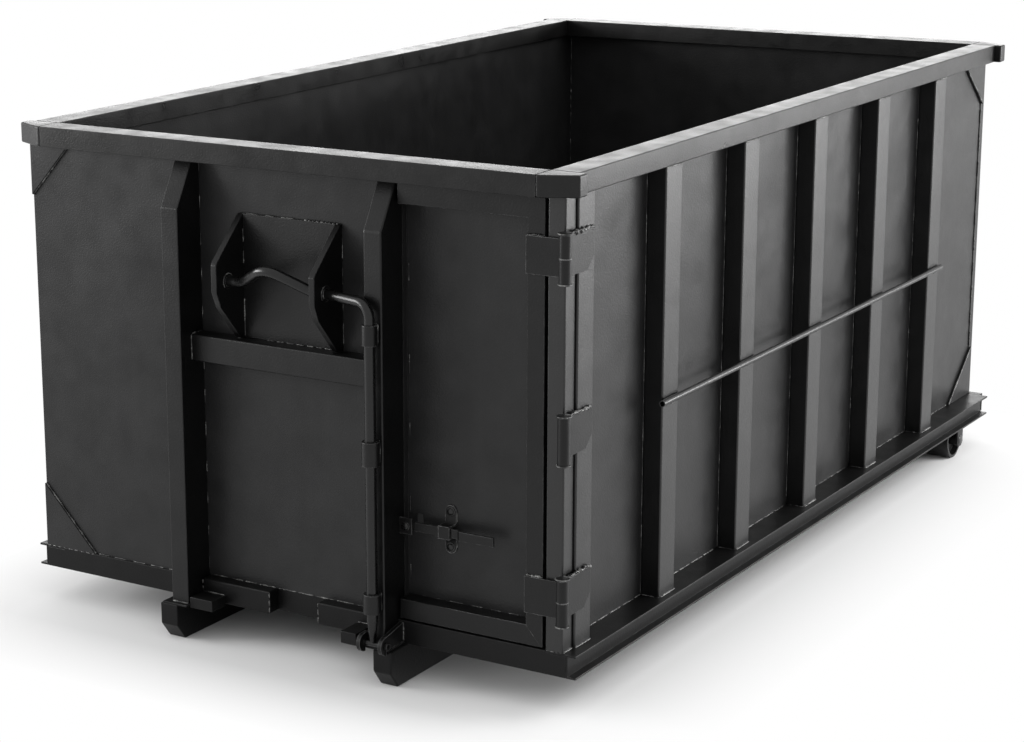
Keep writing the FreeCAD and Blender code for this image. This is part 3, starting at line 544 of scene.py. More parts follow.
def turned_piece(bm, node, sharp=38):
    """Closes a turned or bent form into a piece that stands for a node."""
    bmesh.ops.recalc_face_normals(bm, faces=bm.faces)
    finish_piece(bm, node + "_turned", node, sharp)


# Weld beads


def across(start, end, y, z):
    """A line from side to side."""
    return [(start, y, z), (end, y, z)]


def lengthways(x, start, end, z):
    """A line from front to rear."""
    return [(x, start, z), (x, end, z)]


def upright(x, y, start, end):
    """A line from low to high."""
    return [(x, y, start), (x, y, end)]


class Beads:
    """Collects weld beads that belong to one body into one piece."""

    def __init__(self, context, name, seed):
        welds = settings(context)[2]
        self.name = name
        self.radius = welds.bead_radius
        self.pitch = welds.ripple_pitch
        self.rng = random.Random(seed)
        self.bm = bmesh.new()

    def run(self, points, radius=None, pitch=None, rough=0.15):
        """One rippled bead along straight lines between points. A rough one is uneven in width and height."""
        radius = radius or self.radius
        pitch = pitch or self.pitch
        points = [Vector(p) for p in points]
        lengths = [(b - a).length for a, b in zip(points, points[1:])]
        total = sum(lengths)
        count = max(4, int(total / pitch * 2))
        rings = []
        for number in range(count + 1):
            rest = total * number / count
            place = 0
            while place < len(lengths) - 1 and rest > lengths[place]:
                rest -= lengths[place]
                place += 1
            along = (points[place + 1] - points[place]).normalized()
            size = radius * (0.8 + 0.2 * (number % 2)) * self.rng.uniform(1 - rough, 1 + rough)
            if number in (0, count):
                size *= 0.4
            wobble = Vector([self.rng.uniform(-rough, rough) * radius * 1.3 for _ in range(3)])
            side = along.orthogonal().normalized()
            centre = points[place] + along * rest + wobble
            rings.append(circle_points(self.bm, centre, side, along.cross(side), size, 6))
        skin(self.bm, rings)

    def stitches(self, line, length, gap, radius=None):
        """Short beads with gaps between them, along a line."""
        start, end = (Vector(point) for point in line)
        total = (end - start).length
        along = (end - start).normalized()
        place = self.rng.uniform(0.0, gap * 0.5)
        while place < total - length * 0.4:
            stop = min(place + length * self.rng.uniform(0.8, 1.2), total)
            self.run([start + along * place, start + along * stop], radius)
            place = stop + gap * self.rng.uniform(0.75, 1.25)

    def loop(self, centre, axis, ring_radius, radius=None):
        """A bead right round a bar or barrel."""
        centre = Vector(centre)
        axis = Vector(axis).normalized()
        side = axis.orthogonal().normalized()
        up = axis.cross(side)
        radius = radius or self.radius
        count = max(18, int(2 * math.pi * ring_radius / self.pitch * 2))
        rings = []
        for number in range(count):
            angle = 2 * math.pi * number / count
            out = side * math.cos(angle) + up * math.sin(angle)
            size = radius * (0.8 + 0.2 * (number % 2)) * self.rng.uniform(0.9, 1.1)
            rings.append(circle_points(self.bm, centre + out * ring_radius, out, axis, size, 6))
        skin(self.bm, rings, closed=True)

    def spatter(self, low, high, count, size=0.0016):
        """Small drops scattered over a flat patch between two corners."""
        for _ in range(count):
            centre = Vector([self.rng.uniform(a, b) for a, b in zip(low, high)])
            radius = size * self.rng.uniform(0.5, 1.3)
            drop = bmesh.ops.create_icosphere(self.bm, subdivisions=1, radius=radius)
            bmesh.ops.translate(self.bm, verts=drop["verts"], vec=centre)

    def done(self, body):
        """Closes the beads into one painted piece on a body."""
        bmesh.ops.recalc_face_normals(self.bm, faces=self.bm.faces)
        mesh = mesh_of(self.bm, self.name)
        for face in mesh.polygons:
            face.use_smooth = True
        mesh.materials.append(PAINTS["weld"])
        piece = placed(self.name, mesh)
        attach(piece, body)


# Pieces

# Places on the solids that no node's own box gives
FRAME_FOOT = 0.150
DECK = 0.240
RIM_FOOT = 1.900
POST_CENTRES = (-1.281, -0.605, 0.071, 0.747, 1.423)
POST_HALF = 0.065
HINGE_LOWS = (1.599, 0.951, 0.355)
HINGE_LENGTH = 0.178
# Foot, head and outer radius of each sleeve of the lock rod, and how far its seams stand to each side
SLEEVES = ((0.297, 0.373, 0.0345, 0.0172), (0.864, 0.956, 0.0345, 0.0172), (1.313, 1.390, 0.0285, 0.0142))
BAIL_RADIUS = 0.020
THICK_EDGE_RADIUS = 0.0035
RIGHT = (1, 0, 0)
UP = (0, 0, 1)

# How each slot of the record is finished. A duller one adds to the roughness of the paint.
# The paler edge band set here is partly abraded paint and partly a painted highlight where rounded edges catch
# the light.
FINISHES = {
    "panel_paint": {"dust_amount": 0.025, "streaks": 0.02, "abrasion_and_highlight_amount": 0.2, "wave": 0.5, "specular": 0.25},
    "rim_paint": {"duller": -0.04, "dust_amount": 0.25, "streaks": 0.02, "abrasion_and_highlight_amount": 0.35, "wave": 0.25,
                  "specular": 0.28},
    "post_paint": {"dust_amount": 0.025, "streaks": 0.015, "abrasion_and_highlight_amount": 0.7, "abraded_and_highlight_grey": 0.22, "specular": 0.50},
    "floor_frame_paint": {"duller": 0.03, "dust_amount": 0.03, "streaks": 0.01, "abrasion_and_highlight_amount": 0.5,
                          "specular": 0.18},
    "hook_frame_paint": {"dust_amount": 0.01, "streaks": 0.01, "abrasion_and_highlight_amount": 0.9, "abraded_and_highlight_grey": 0.20, "specular": 0.30},
    "bail_paint": {"duller": -0.09, "dust_amount": 0.02, "streaks": 0.0, "abrasion_and_highlight_amount": 0.0, "peel_share": 0.3,
                   "specular": 0.38},
    "door_frame_paint": {"dust_amount": 0.02, "streaks": 0.01, "abrasion_and_highlight_amount": 1.0, "abraded_and_highlight_grey": 0.26, "specular": 0.27},
    "pin_paint": {"duller": -0.08, "dust_amount": 0.02, "streaks": 0.0, "abrasion_and_highlight_amount": 0.6, "abrasion_and_highlight_width": 0.002,
                  "specular": 0.40},
    "roller_paint": {"duller": 0.04, "dust_amount": 0.03, "streaks": 0.0, "abrasion_and_highlight_amount": 0.6},
}


class CONTAINER_OT_paints(Operator):
    """Mix one satin black paint for each slot of the record, and put it on every node of that slot"""
    bl_idname = "container.paints"
    bl_label = "Mix the paints"

    def execute(self, context):
        paint = settings(context)[0]
        steel = tuple(paint.frame_colour)
        dust = tuple(paint.dust_colour)
        for slot, finish in FINISHES.items():
            values = dict(finish)
            colour = tuple(paint.panel_colour) if slot == "panel_paint" else steel
            roughness = paint.roughness + values.pop("duller", 0.0)
            peel = paint.peel_height * values.pop("peel_share", 1.0)
            name = slot.replace("_", " ").capitalize()
            PAINTS[slot] = painted_steel(name, colour, dust, roughness, peel=peel, **values)
        PAINTS["weld"] = weld_paint(steel)
        for node, piece in NODES.items():
            piece.data.materials.clear()
            piece.data.materials.append(paint_of(node)[1])
        return {"FINISHED"}


def round_nodes(context, width, *nodes):
    for node in nodes:
        rounded_copy(node, width, settings(context)[1].corner_steps)


class CONTAINER_OT_box(Operator):
    """Put rounded steel in place of the posts, gussets and rim of the box"""
    bl_idname = "container.box"
    bl_label = "Box and rim"

    def execute(self, context):
        steel = settings(context)[1]
        round_nodes(context, steel.tube_radius, "side_posts_left", "side_posts_right", "end_post_left",
                    "end_post_right", "hinge_post", "rim_front", "rim_rear", "rim_side_left",
                    "rim_side_right", "rim_cap_front_left", "rim_cap_front_right", "rim_cap_rear_left",
                    "rim_cap_rear_right")
        round_nodes(context, steel.plate_radius, "gusset_plates")
        return {"FINISHED"}


class CONTAINER_OT_floor_frame(Operator):
    """Put rounded steel in place of the sills, cross members, runners, bars and lugs"""
    bl_idname = "container.floor_frame"
    bl_label = "Floor frame"

    def execute(self, context):
        steel = settings(context)[1]
        round_nodes(context, steel.plate_radius, "sill_left", "sill_right", "front_cross_member",
                    "rear_cross_member", "nose_plates", "base_lug_left", "base_lug_right",
                    "roller_bracket_left", "roller_bracket_right")
        round_nodes(context, steel.tube_radius, "runner_left", "runner_right", "stop_bars")
        return {"FINISHED"}


class CONTAINER_OT_hook_frame(Operator):
    """Put rounded steel in place of the hook posts, cross beam, back plate, ears and clevis"""
    bl_idname = "container.hook_frame"
    bl_label = "Hook frame"

    def execute(self, context):
        steel = settings(context)[1]
        round_nodes(context, steel.tube_radius, "front_post_left", "front_post_right", "cross_beam")
        round_nodes(context, steel.plate_radius, "hook_back_plate", "clevis_bracket")
        round_nodes(context, THICK_EDGE_RADIUS, "hook_ear_left", "hook_ear_right")
        return {"FINISHED"}


class CONTAINER_OT_bail(Operator):
    """Bend the bail from one round bar, and turn the collars that hold it in the ears"""
    bl_idname = "container.bail"
    bl_label = "Bail and collars"

    def execute(self, context):
        _, y, z = middle_of("ear_collars")
        rod_x, rod_y, _ = middle_of("lock_rod")
        elbow = (0.2475, y, z)
        hump = [(-0.2500, y, z), (-0.1400, y, z), (0.0120, y - 0.070, z + 0.084), (0.1780, y, z), elbow]
        drop = [elbow, (rod_x, rod_y, z), (rod_x, rod_y, edges_of("hook_bail")[4])]
        bm = bmesh.new()
        swept(bm, bend_path(hump, radius=0.088)[:-1] + bend_path(drop, radius=0.058), BAIL_RADIUS)
        turned_piece(bm, "hook_bail")
        collar_end = edges_of("ear_collars")[1]
        width = 0.005
        bm = bmesh.new()
        for face in (-collar_end, -0.2085, 0.2035, collar_end - width):
            profile = soft_tube(width, BAIL_RADIUS - 0.0001, 0.029, soft=0.002)
            turned(bm, (face, y, z), RIGHT, profile, closed=True)
        turned_piece(bm, "ear_collars")
        return {"FINISHED"}


class CONTAINER_OT_lock_rod(Operator):
    """Turn the lock rod with its tapered foot, its three sleeves and the clevis pin with its nut"""
    bl_idname = "container.lock_rod"
    bl_label = "Lock rod"

    def execute(self, context):
        x0, x1, _, _, z0, z1 = edges_of("lock_rod")
        x, y, _ = middle_of("lock_rod")
        radius = (x1 - x0) / 2
        length = z1 - z0
        bm = bmesh.new()
        turned(bm, (x, y, z0), UP, [
            (0, radius * 0.52), (0.004, radius * 0.6), (0.04, radius * 0.78), (0.085, radius * 0.985),
            (0.10, radius), (length - 0.003, radius), (length, radius * 0.86)])
        turned_piece(bm, "lock_rod")
        bm = bmesh.new()
        face = edges_of("front_post_right")[2]
        for low, high, outer, _ in SLEEVES:
            profile = soft_tube(high - low, radius + 0.0003, outer, soft=0.0025)
            turned(bm, (x, y, low), UP, profile, closed=True)
            block(bm, (x - outer / 2, y + outer * 0.8, low + 0.002), (x + outer / 2, face, high - 0.002))
        turned_piece(bm, "rod_sleeves")
        pin_start, pin_end = edges_of("clevis_pin")[:2]
        _, y, z = middle_of("clevis_pin")
        lug = edges_of("clevis_bracket")[1]
        washer = 0.003
        bm = bmesh.new()
        turned(bm, (pin_start, y, z), RIGHT, soft_disc(pin_end - pin_start - 0.003, 0.011, soft=0.0015))
        turned(bm, (lug, y, z), RIGHT, soft_disc(washer, 0.0143, soft=0.0006))
        turned(bm, (lug + washer, y, z), RIGHT, [
            (0, 0.0155), (0.001, 0.0166), (0.0065, 0.0166), (0.008, 0.0150)], steps=6)
        turned_piece(bm, "clevis_pin", sharp=28)
        return {"FINISHED"}


class CONTAINER_OT_door(Operator):
    """Put rounded steel in place of the door's frame, hinge straps and leaves"""
    bl_idname = "container.door"
    bl_label = "Door"

    def execute(self, context):
        round_nodes(context, THICK_EDGE_RADIUS, "door_frame")
        round_nodes(context, settings(context)[1].plate_radius, "hinge_straps", "hinge_leaves")
        return {"FINISHED"}


class CONTAINER_OT_hinge_pins(Operator):
    """Turn the three hinge pins with their domed heads"""
    bl_idname = "container.hinge_pins"
    bl_label = "Hinge pins"

    def execute(self, context):
        x, y, _ = middle_of("hinge_pins")
        bm = bmesh.new()
        for low in HINGE_LOWS:
            turned(bm, (x, y, low), UP, soft_disc(HINGE_LENGTH, 0.012, soft=0.001))
            turned(bm, (x, y, low + HINGE_LENGTH), UP, [
                (0, 0.0262), (0.0015, 0.0275), (0.0045, 0.0272), (0.0065, 0.0225), (0.0078, 0.012)])
        turned_piece(bm, "hinge_pins")
        return {"FINISHED"}


class CONTAINER_OT_latch(Operator):
    """Round the latch's flat steel and turn the domed bolts that hold it"""
    bl_idname = "container.latch"
    bl_label = "Latch"

    def execute(self, context):
        round_nodes(context, settings(context)[1].plate_radius, "latch_catch", "latch_guide", "latch_bar")
        for node in ("latch_catch_bolt", "latch_guide_bolts"):
            x0, x1, y0, y1, z0, z1 = edges_of(node)
            radius = (x1 - x0) / 2
            bm = bmesh.new()
            for z in {z0 + radius, z1 - radius}:
                turned(bm, ((x0 + x1) / 2, y1, z), (0, -1, 0), domed_head(y1 - y0, radius), steps=32)
            turned_piece(bm, node)
        return {"FINISHED"}


class CONTAINER_OT_rollers(Operator):
    """Turn the two rear rollers with their webs and hubs, and the axle heads"""
    bl_idname = "container.rollers"
    bl_label = "Rear rollers"

    def execute(self, context):
        for side, name in ((-1, "roller_left"), (1, "roller_right")):
            inner, hub_end = edges_of(name)[:2][::side]
            _, y, z = middle_of(name)
            way = (side, 0, 0)
            bm = bmesh.new()
            tread = soft_tube(0.25, 0.0805, 0.0925, soft=0.003)
            hub = soft_tube(abs(hub_end - inner), 0.0151, 0.030, soft=0.002)
            web = soft_tube(0.010, 0.029, 0.0812, soft=0.0004)
            turned(bm, (inner, y, z), way, tread, steps=64, closed=True)
            turned(bm, (inner, y, z), way, hub, closed=True)
            for reach in (0.030, 0.210):
                turned(bm, (inner + side * reach, y, z), way, web, steps=64, closed=True)
            turned_piece(bm, name)
        head = [(0, 0.0220), (0.0015, 0.0218), (0.003, 0.017), (0.004, 0.010)]
        axle_end = edges_of("roller_axles")[1] - head[-1][0]
        inner = edges_of("roller_bracket_right")[0]
        _, y, z = middle_of("roller_axles")
        bm = bmesh.new()
        for side in (-1, 1):
            turned(bm, (side * inner, y, z), (side, 0, 0), soft_disc(axle_end - inner, 0.015, soft=0.001))
            turned(bm, (side * axle_end, y, z), (side, 0, 0), head)
        turned_piece(bm, "roller_axles")
        return {"FINISHED"}


class CONTAINER_OT_side_welds(Operator):
    """Lay the weld beads of both long sides: post feet, post seams, bay seams, gussets and rear corners"""
    bl_idname = "container.side_welds"
    bl_label = "Side welds"

    def execute(self, context):
        wall, _, _, _, top = edges_of("side_wall_right")[1:]
        deck = edges_of("sill_right")[5]
        outer = edges_of("side_posts_right")[1]
        bays = [edges_of("end_post_right")[3]] + [y + POST_HALF for y in POST_CENTRES]
        ends = [y - POST_HALF for y in POST_CENTRES] + [2.17]
        corner, plate = 2.188, 1.147
        for side, name, seed in ((-1, "welds_left_side", 11), (1, "welds_right_side", 12)):
            beads = Beads(context, name, seed)
            for y in POST_CENTRES:
                front, rear = y - POST_HALF, y + POST_HALF
                beads.run(lengthways(side * outer, front + 0.006, rear - 0.002, deck))
                for edge, length in ((front, 0.02), (rear, 0.03)):
                    beads.stitches(across(side * (wall + 0.004), side * outer, edge, deck), length, gap=0.012,
                                   radius=0.003)
                beads.run(lengthways(side * (outer - 0.001), front, rear, top - 0.002), radius=0.0035)
                for edge in (front, rear):
                    beads.run(upright(side * wall, edge, deck + 0.004, top), radius=0.0016, pitch=0.011)
            for start, end in zip(bays, ends):
                foot, head = (lengthways(side * wall, start, end, z) for z in (deck, top))
                beads.stitches(foot, length=0.09, gap=0.012, radius=0.0032)
                beads.stitches(head, length=0.10, gap=0.05, radius=0.0022)
            x = side * plate
            beads.run([(x, 1.928, top), (x, corner, top - 0.215)], radius=0.0042)
            beads.run([(x, 1.908, deck), (x, corner, deck + 0.236)], radius=0.0042)
            beads.stitches(upright(side * 1.141, 2.176, deck, top), length=0.07, gap=0.05, radius=0.0028)
            beads.stitches(lengthways(side * 1.210, 1.815, 1.885, FRAME_FOOT), length=0.03, gap=0.006,
                           radius=0.004)
            beads.done("container")
        return {"FINISHED"}


class CONTAINER_OT_front_welds(Operator):
    """Lay the weld beads of the front: gussets, panels, base, hook frame, sleeves and clevis"""
    bl_idname = "container.front_welds"
    bl_label = "Front welds"

    def execute(self, context):
        beads = Beads(context, "welds_front", 21)
        self.panel_seams(beads)
        self.hook_frame_seams(beads)
        self.base_seams(beads)
        beads.done("container")
        return {"FINISHED"}

    def panel_seams(self, beads):
        """The gussets, the left and centre panels, the hook posts and the cross beam."""
        left_face = edges_of("front_panel_left")[2]
        panel = edges_of("front_panel_centre")[2]
        inner, outer, face, _, foot, _ = edges_of("front_post_right")
        gusset_face = left_face - 0.003
        corner = -1.210
        beads.run([(-1.020, gusset_face, RIM_FOOT), (corner, gusset_face, RIM_FOOT - 0.207)], radius=0.0045)
        beads.run([(corner, gusset_face, DECK + 0.262), (-0.960, gusset_face, DECK)], radius=0.0045)
        beads.stitches(across(-1.208, -0.962, left_face - 0.012, DECK), length=0.018, gap=0.010,
                       radius=0.0028)
        beads.stitches(across(-0.955, -outer, left_face, DECK), length=0.06, gap=0.03, radius=0.0026)
        beads.stitches(across(-1.0, -outer, left_face, RIM_FOOT), length=0.08, gap=0.05, radius=0.0024)
        for side in (-1, 1):
            x = side * inner
            for low, high in ((DECK + 0.01, 1.115), (1.235, 1.885)):
                beads.stitches(upright(x, panel, low, high), length=0.05, gap=0.09, radius=0.0018)
            beads.run(across(side * (inner + 0.004), side * (outer - 0.004), -2.056, RIM_FOOT), radius=0.0045)
            beads.run(upright(x, -2.088, 1.126, 1.224), radius=0.004)
            beads.stitches(lengthways(x, -2.086, -2.015, 1.228), length=0.03, gap=0.008, radius=0.004)
            beads.run(across(side * (inner + 0.003), side * (outer - 0.003), face, foot), radius=0.005)
            beads.stitches(lengthways(side * outer, face + 0.01, -2.068, foot), length=0.02, gap=0.008,
                           radius=0.004)
        beads.stitches(upright(-outer, left_face, DECK + 0.02, RIM_FOOT - 0.02), length=0.06, gap=0.10,
                       radius=0.0018)
        beads.stitches(across(-0.40, 0.40, panel, DECK), length=0.07, gap=0.012, radius=0.003)
        beads.stitches(across(-0.40, 0.40, panel, RIM_FOOT), length=0.09, gap=0.04, radius=0.0024)
        beads.stitches(across(-0.37, 0.37, panel, 1.122), length=0.06, gap=0.04, radius=0.003)

    def hook_frame_seams(self, beads):
        """The back plate, the ears with their collars, and the sleeves of the lock rod."""
        x0, x1, y, _, z0, z1 = edges_of("hook_back_plate")
        panel = edges_of("front_panel_centre")[2]
        beads.stitches(across(x0, 0.05, y + 0.006, z1), length=0.05, gap=0.03, radius=0.0025)
        beads.stitches(across(0.07, x1 + 0.015, y + 0.003, z1), length=0.012, gap=0.006, radius=0.0038)
        beads.stitches(across(x0 + 0.1, x1, y, z0), length=0.03, gap=0.012, radius=0.0034)
        for side in (-1, 1):
            x = side * x1
            beads.run(upright(x, y, z0 + 0.005, 1.38), radius=0.004)
            beads.stitches(upright(x, y, 1.50, z1 - 0.01), length=0.05, gap=0.03, radius=0.003)
            x = side * (x1 + 0.025)
            beads.stitches(upright(x, panel, z0 + 0.01, z1), length=0.07, gap=0.04, radius=0.0024)
            beads.run(across(x - side * 0.022, x - side * 0.003, -2.046, z0), radius=0.004)
        _, y, z = middle_of("ear_collars")
        for x in (-0.2365, -0.2055, 0.2055, 0.2365):
            beads.loop((x, y, z), RIGHT, 0.0285, radius=0.0030)
            beads.loop((x + (0.002 if x > 0 else -0.002), y, z), RIGHT, 0.0205, radius=0.0026)
        x = middle_of("lock_rod")[0]
        seat = edges_of("front_post_right")[2] - 0.001
        for low, high, _, reach in SLEEVES:
            for side in (-1, 1):
                beads.run(upright(x + side * reach, seat, low + 0.004, high - 0.004), radius=0.0042)

    def base_seams(self, beads):
        """The clevis, the bars and lugs of the base's centre bay, and the feet of the corner posts."""
        face, _, foot = edges_of("front_post_right")[2:5]
        lug = edges_of("clevis_bracket")[1]
        bay = -2.069
        beads.run(upright(lug, -2.0655, foot + 0.003, 0.231), radius=0.0045)
        beads.run(upright(0.411, face + 0.001, foot + 0.003, 0.204), radius=0.004)
        beads.stitches(lengthways(lug, -2.175, -2.07, foot), length=0.02, gap=0.01, radius=0.0035)
        for x in (-0.411, 0.411, -0.091, 0.137):
            beads.stitches(upright(x, bay, 0.155, 0.236), length=0.02, gap=0.008, radius=0.0026)
        beads.run(across(-0.409, -0.308, bay + 0.0005, 0.187), radius=0.0035)
        beads.run(across(0.320, 0.384, bay + 0.0005, 0.197), radius=0.0035)
        beads.run(lengthways(1.193, -2.058, -1.990, DECK), radius=0.0045)
        beads.stitches(across(1.126, 1.190, -2.061, DECK), length=0.012, gap=0.006, radius=0.003)
        beads.run(lengthways(1.203, -1.984, -1.871, DECK), radius=0.0055)
        beads.run(lengthways(-1.203, -2.045, -1.871, DECK), radius=0.005)
        beads.stitches(across(1.128, 1.188, -2.061, RIM_FOOT), length=0.02, gap=0.01, radius=0.003)


class CONTAINER_OT_hinge_welds(Operator):
    """Lay the heavy beads of the hinges: leaves on the end post and rings on the barrels"""
    bl_idname = "container.hinge_welds"
    bl_label = "Hinge welds"

    def execute(self, context):
        beads = Beads(context, "welds_hinges", 31)
        x, y, _ = middle_of("hinge_pins")
        start = y + 0.034
        rear = edges_of("hinge_leaves")[3]
        face = edges_of("end_post_right")[1]
        seat = face + 0.003
        leaf_face = face + 0.0102
        for low in HINGE_LOWS:
            foot, head = low + 0.026, low + HINGE_LENGTH - 0.006
            beads.run(lengthways(face + 0.006, start, rear - 0.002, head + 0.002), radius=0.0068, pitch=0.011,
                      rough=0.4)
            beads.stitches(upright(seat, rear, head, foot + 0.046), length=0.035, gap=0.012, radius=0.0030)
            beads.stitches([(seat, rear, foot + 0.046), (seat, rear - 0.046, foot)], length=0.02, gap=0.01,
                           radius=0.0028)
            beads.stitches(lengthways(seat, rear - 0.05, start, foot), length=0.02, gap=0.02, radius=0.0028)
            beads.loop((x, y, low + HINGE_LENGTH + 0.0035), UP, 0.0256, radius=0.0030)
            beads.loop((x, y, low + 0.003), UP, 0.0236, radius=0.0034)
            beads.spatter((leaf_face, y + 0.05, head - 0.02), (leaf_face, rear - 0.004, head - 0.004),
                          count=8, size=0.0012)
        beads.done("container")
        return {"FINISHED"}


class CONTAINER_OT_door_welds(Operator):
    """Lay the beads that ride on the door: strap edges, panel seams and the lower mitre"""
    bl_idname = "container.door_welds"
    bl_label = "Door welds"

    def execute(self, context):
        beads = Beads(context, "welds_door", 41)
        left, right, face, _, low, high = edges_of("door_frame")
        stile = right - 0.070
        rail = 0.076
        side_gap = 0.08
        panel = edges_of("door_panel")[2]
        strap = edges_of("hinge_straps")[0]
        seat = face - 0.002
        for strap_low, strap_high in ((1.619, 1.756), (0.374, 0.513)):
            beads.run(across(strap + 0.002, right - 0.001, seat, strap_high), radius=0.0055, pitch=0.010,
                      rough=0.4)
            beads.run(upright(strap, seat, strap_low, strap_high), radius=0.0026, pitch=0.010)
            beads.stitches(across(strap, right, seat, strap_low), length=0.03, gap=0.02, radius=0.0028)
        for z in (low + rail, high - rail):
            beads.stitches(across(left + 0.01, stile, panel, z), length=0.05, gap=0.03, radius=0.0026)
        beads.stitches(upright(stile, panel, low + side_gap, high - side_gap), length=0.06, gap=0.05,
                       radius=0.0026)
        beads.stitches(upright(left + 0.002, panel, low + side_gap, high - side_gap), length=0.06, gap=0.22,
                       radius=0.0016)
        mitre = face + 0.0006
        beads.run([(stile, mitre, low + rail), (right - 0.003, mitre, low)], radius=0.0012, pitch=0.012)
        x0, x1, _, y1, z0, z1 = edges_of("latch_guide")
        for x in (x0, x1):
            for start, end in ((z0 + 0.024, z0 + 0.062), (z1 - 0.062, z1 - 0.024)):
                beads.run(upright(x, y1 - 0.001, start, end), radius=0.0028)
        beads.done("door")
        return {"FINISHED"}


class CONTAINER_OT_rear_and_inside_welds(Operator):
    """Lay the beads of the rear end and the seams inside the box"""
    bl_idname = "container.rear_and_inside_welds"
    bl_label = "Rear and inside welds"

    def execute(self, context):
        beads = Beads(context, "welds_rear_and_inside", 51)
        rear = edges_of("rear_wall")[3]
        inside = rear - 0.004
        floor = DECK + 0.006
        half = 1.13
        wall = edges_of("side_wall_right")[0]
        front = edges_of("door_panel")[3] + 0.001
        beads.stitches(across(-half, half, rear, DECK), length=0.08, gap=0.03, radius=0.0030)
        beads.stitches(across(-half, half, rear, RIM_FOOT), length=0.08, gap=0.04, radius=0.0026)
        for side in (-1, 1):
            x = side * wall
            beads.stitches(upright(side * 1.209, rear - 0.01, 0.155, 0.236), length=0.03, gap=0.01,
                           radius=0.003)
            beads.stitches(across(side * 0.457, side * 0.537, rear, FRAME_FOOT), length=0.03, gap=0.008,
                           radius=0.0035)
            beads.stitches(lengthways(x, front, inside, floor), length=0.10, gap=0.02, radius=0.0035)
            beads.stitches(upright(x, inside, floor, RIM_FOOT), length=0.10, gap=0.03, radius=0.0035)
            beads.stitches([(side * 1.105, 2.115, RIM_FOOT), (side * 1.105, 2.120, RIM_FOOT + 0.078)],
                           length=0.03, gap=0.008, radius=0.002)
        beads.stitches(across(-half, half, inside, floor), length=0.10, gap=0.02, radius=0.0035)
        beads.done("container")
        return {"FINISHED"}


# Stage

# How far from the part's box the floor turns white, where the camera and where the steel sees it
SHADOW_FADE = (0.04, 0.50)
MIRRORED_FADE = (0.15, 0.90)


def look_matrix(forward, roll):
    """The camera's turn from its viewing direction and its roll."""
    forward = Vector(forward).normalized()
    level = forward.cross(Vector((0, 0, 1))).normalized()
    down = forward.cross(level)
    right = level * math.cos(roll) + down * math.sin(roll)
    up = -(down * math.cos(roll) - level * math.sin(roll))
    return Matrix((right, up, -forward)).transposed()


def area_lamp(name, place, target, width, height, power):
    lamp = bpy.data.lights.new(name, "AREA")
    lamp.shape = "RECTANGLE"
    lamp.size = width
    lamp.size_y = height
    lamp.energy = power
    obj = placed(name, lamp)
    obj.location = place
    obj.rotation_mode = "QUATERNION"
    obj.rotation_quaternion = (Vector(target) - Vector(place)).to_track_quat("-Z", "Y")
    obj.visible_camera = False


def mirrored(w, ray):
    """One where a ray has been mirrored or has passed through a piece, and zero elsewhere."""
    return w.maths("MAXIMUM", ray["Is Glossy Ray"], ray["Is Transmission Ray"])


def plain_floor(colour):
    """A pale matt floor that keeps the object's shadow and is plain white farther out."""
    material = bpy.data.materials.new("Plain floor")
    material.use_nodes = True
    tree = material.node_tree
    shader = tree.nodes["Principled BSDF"]
    shader.inputs["Base Color"].default_value = (*colour, 1.0)
    shader.inputs["Roughness"].default_value = 0.9
    shader.inputs["Specular IOR Level"].default_value = 0.1
    w = Wiring(tree)
    away = w.vectors("ABSOLUTE", w.add("ShaderNodeTexCoord").outputs["Object"])
    away = w.vectors("SUBTRACT", away, (CAD_BOX[1][0], CAD_BOX[1][1], 0.0))
    reach = w.vectors("LENGTH", w.vectors("MAXIMUM", away, (0.0, 0.0, 0.0)))
    ray = w.add("ShaderNodeLightPath").outputs
    near = w.maths("MULTIPLY", w.ramp(reach, *SHADOW_FADE), ray["Is Camera Ray"])
    far = w.maths("MULTIPLY", w.ramp(reach, *MIRRORED_FADE), mirrored(w, ray))
    white = w.filled("ShaderNodeEmission", {"Strength": 1.0}).outputs[0]
    fade = w.blend(w.maths("MAXIMUM", near, far), shader.outputs[0], white)
    w.join(fade, tree.nodes["Material Output"].inputs["Surface"])
    bm = bmesh.new()
    bmesh.ops.create_grid(bm, x_segments=1, y_segments=1, size=90.0)
    mesh = mesh_of(bm, "Floor")
    mesh.materials.append(material)
    floor = placed("Floor", mesh)
    floor.location = (0, 0, -0.0005)


def pale_sky(level):
    """White where the camera or a reflection sees it, and a softer level on the object."""
    world = bpy.data.worlds.new("Pale sky")
    bpy.context.scene.world = world
    world.use_nodes = True
    tree = world.node_tree
    tree.nodes.clear()
    w = Wiring(tree)
    ray = w.add("ShaderNodeLightPath").outputs
    seen = w.maths("MAXIMUM", ray["Is Camera Ray"], mirrored(w, ray))
    soft, white = [w.filled("ShaderNodeBackground", {"Color": (1, 1, 1, 1), "Strength": strength}).outputs[0]
                   for strength in (level, 1.0)]
    w.filled("ShaderNodeOutputWorld", {"Surface": w.blend(seen, soft, white)})


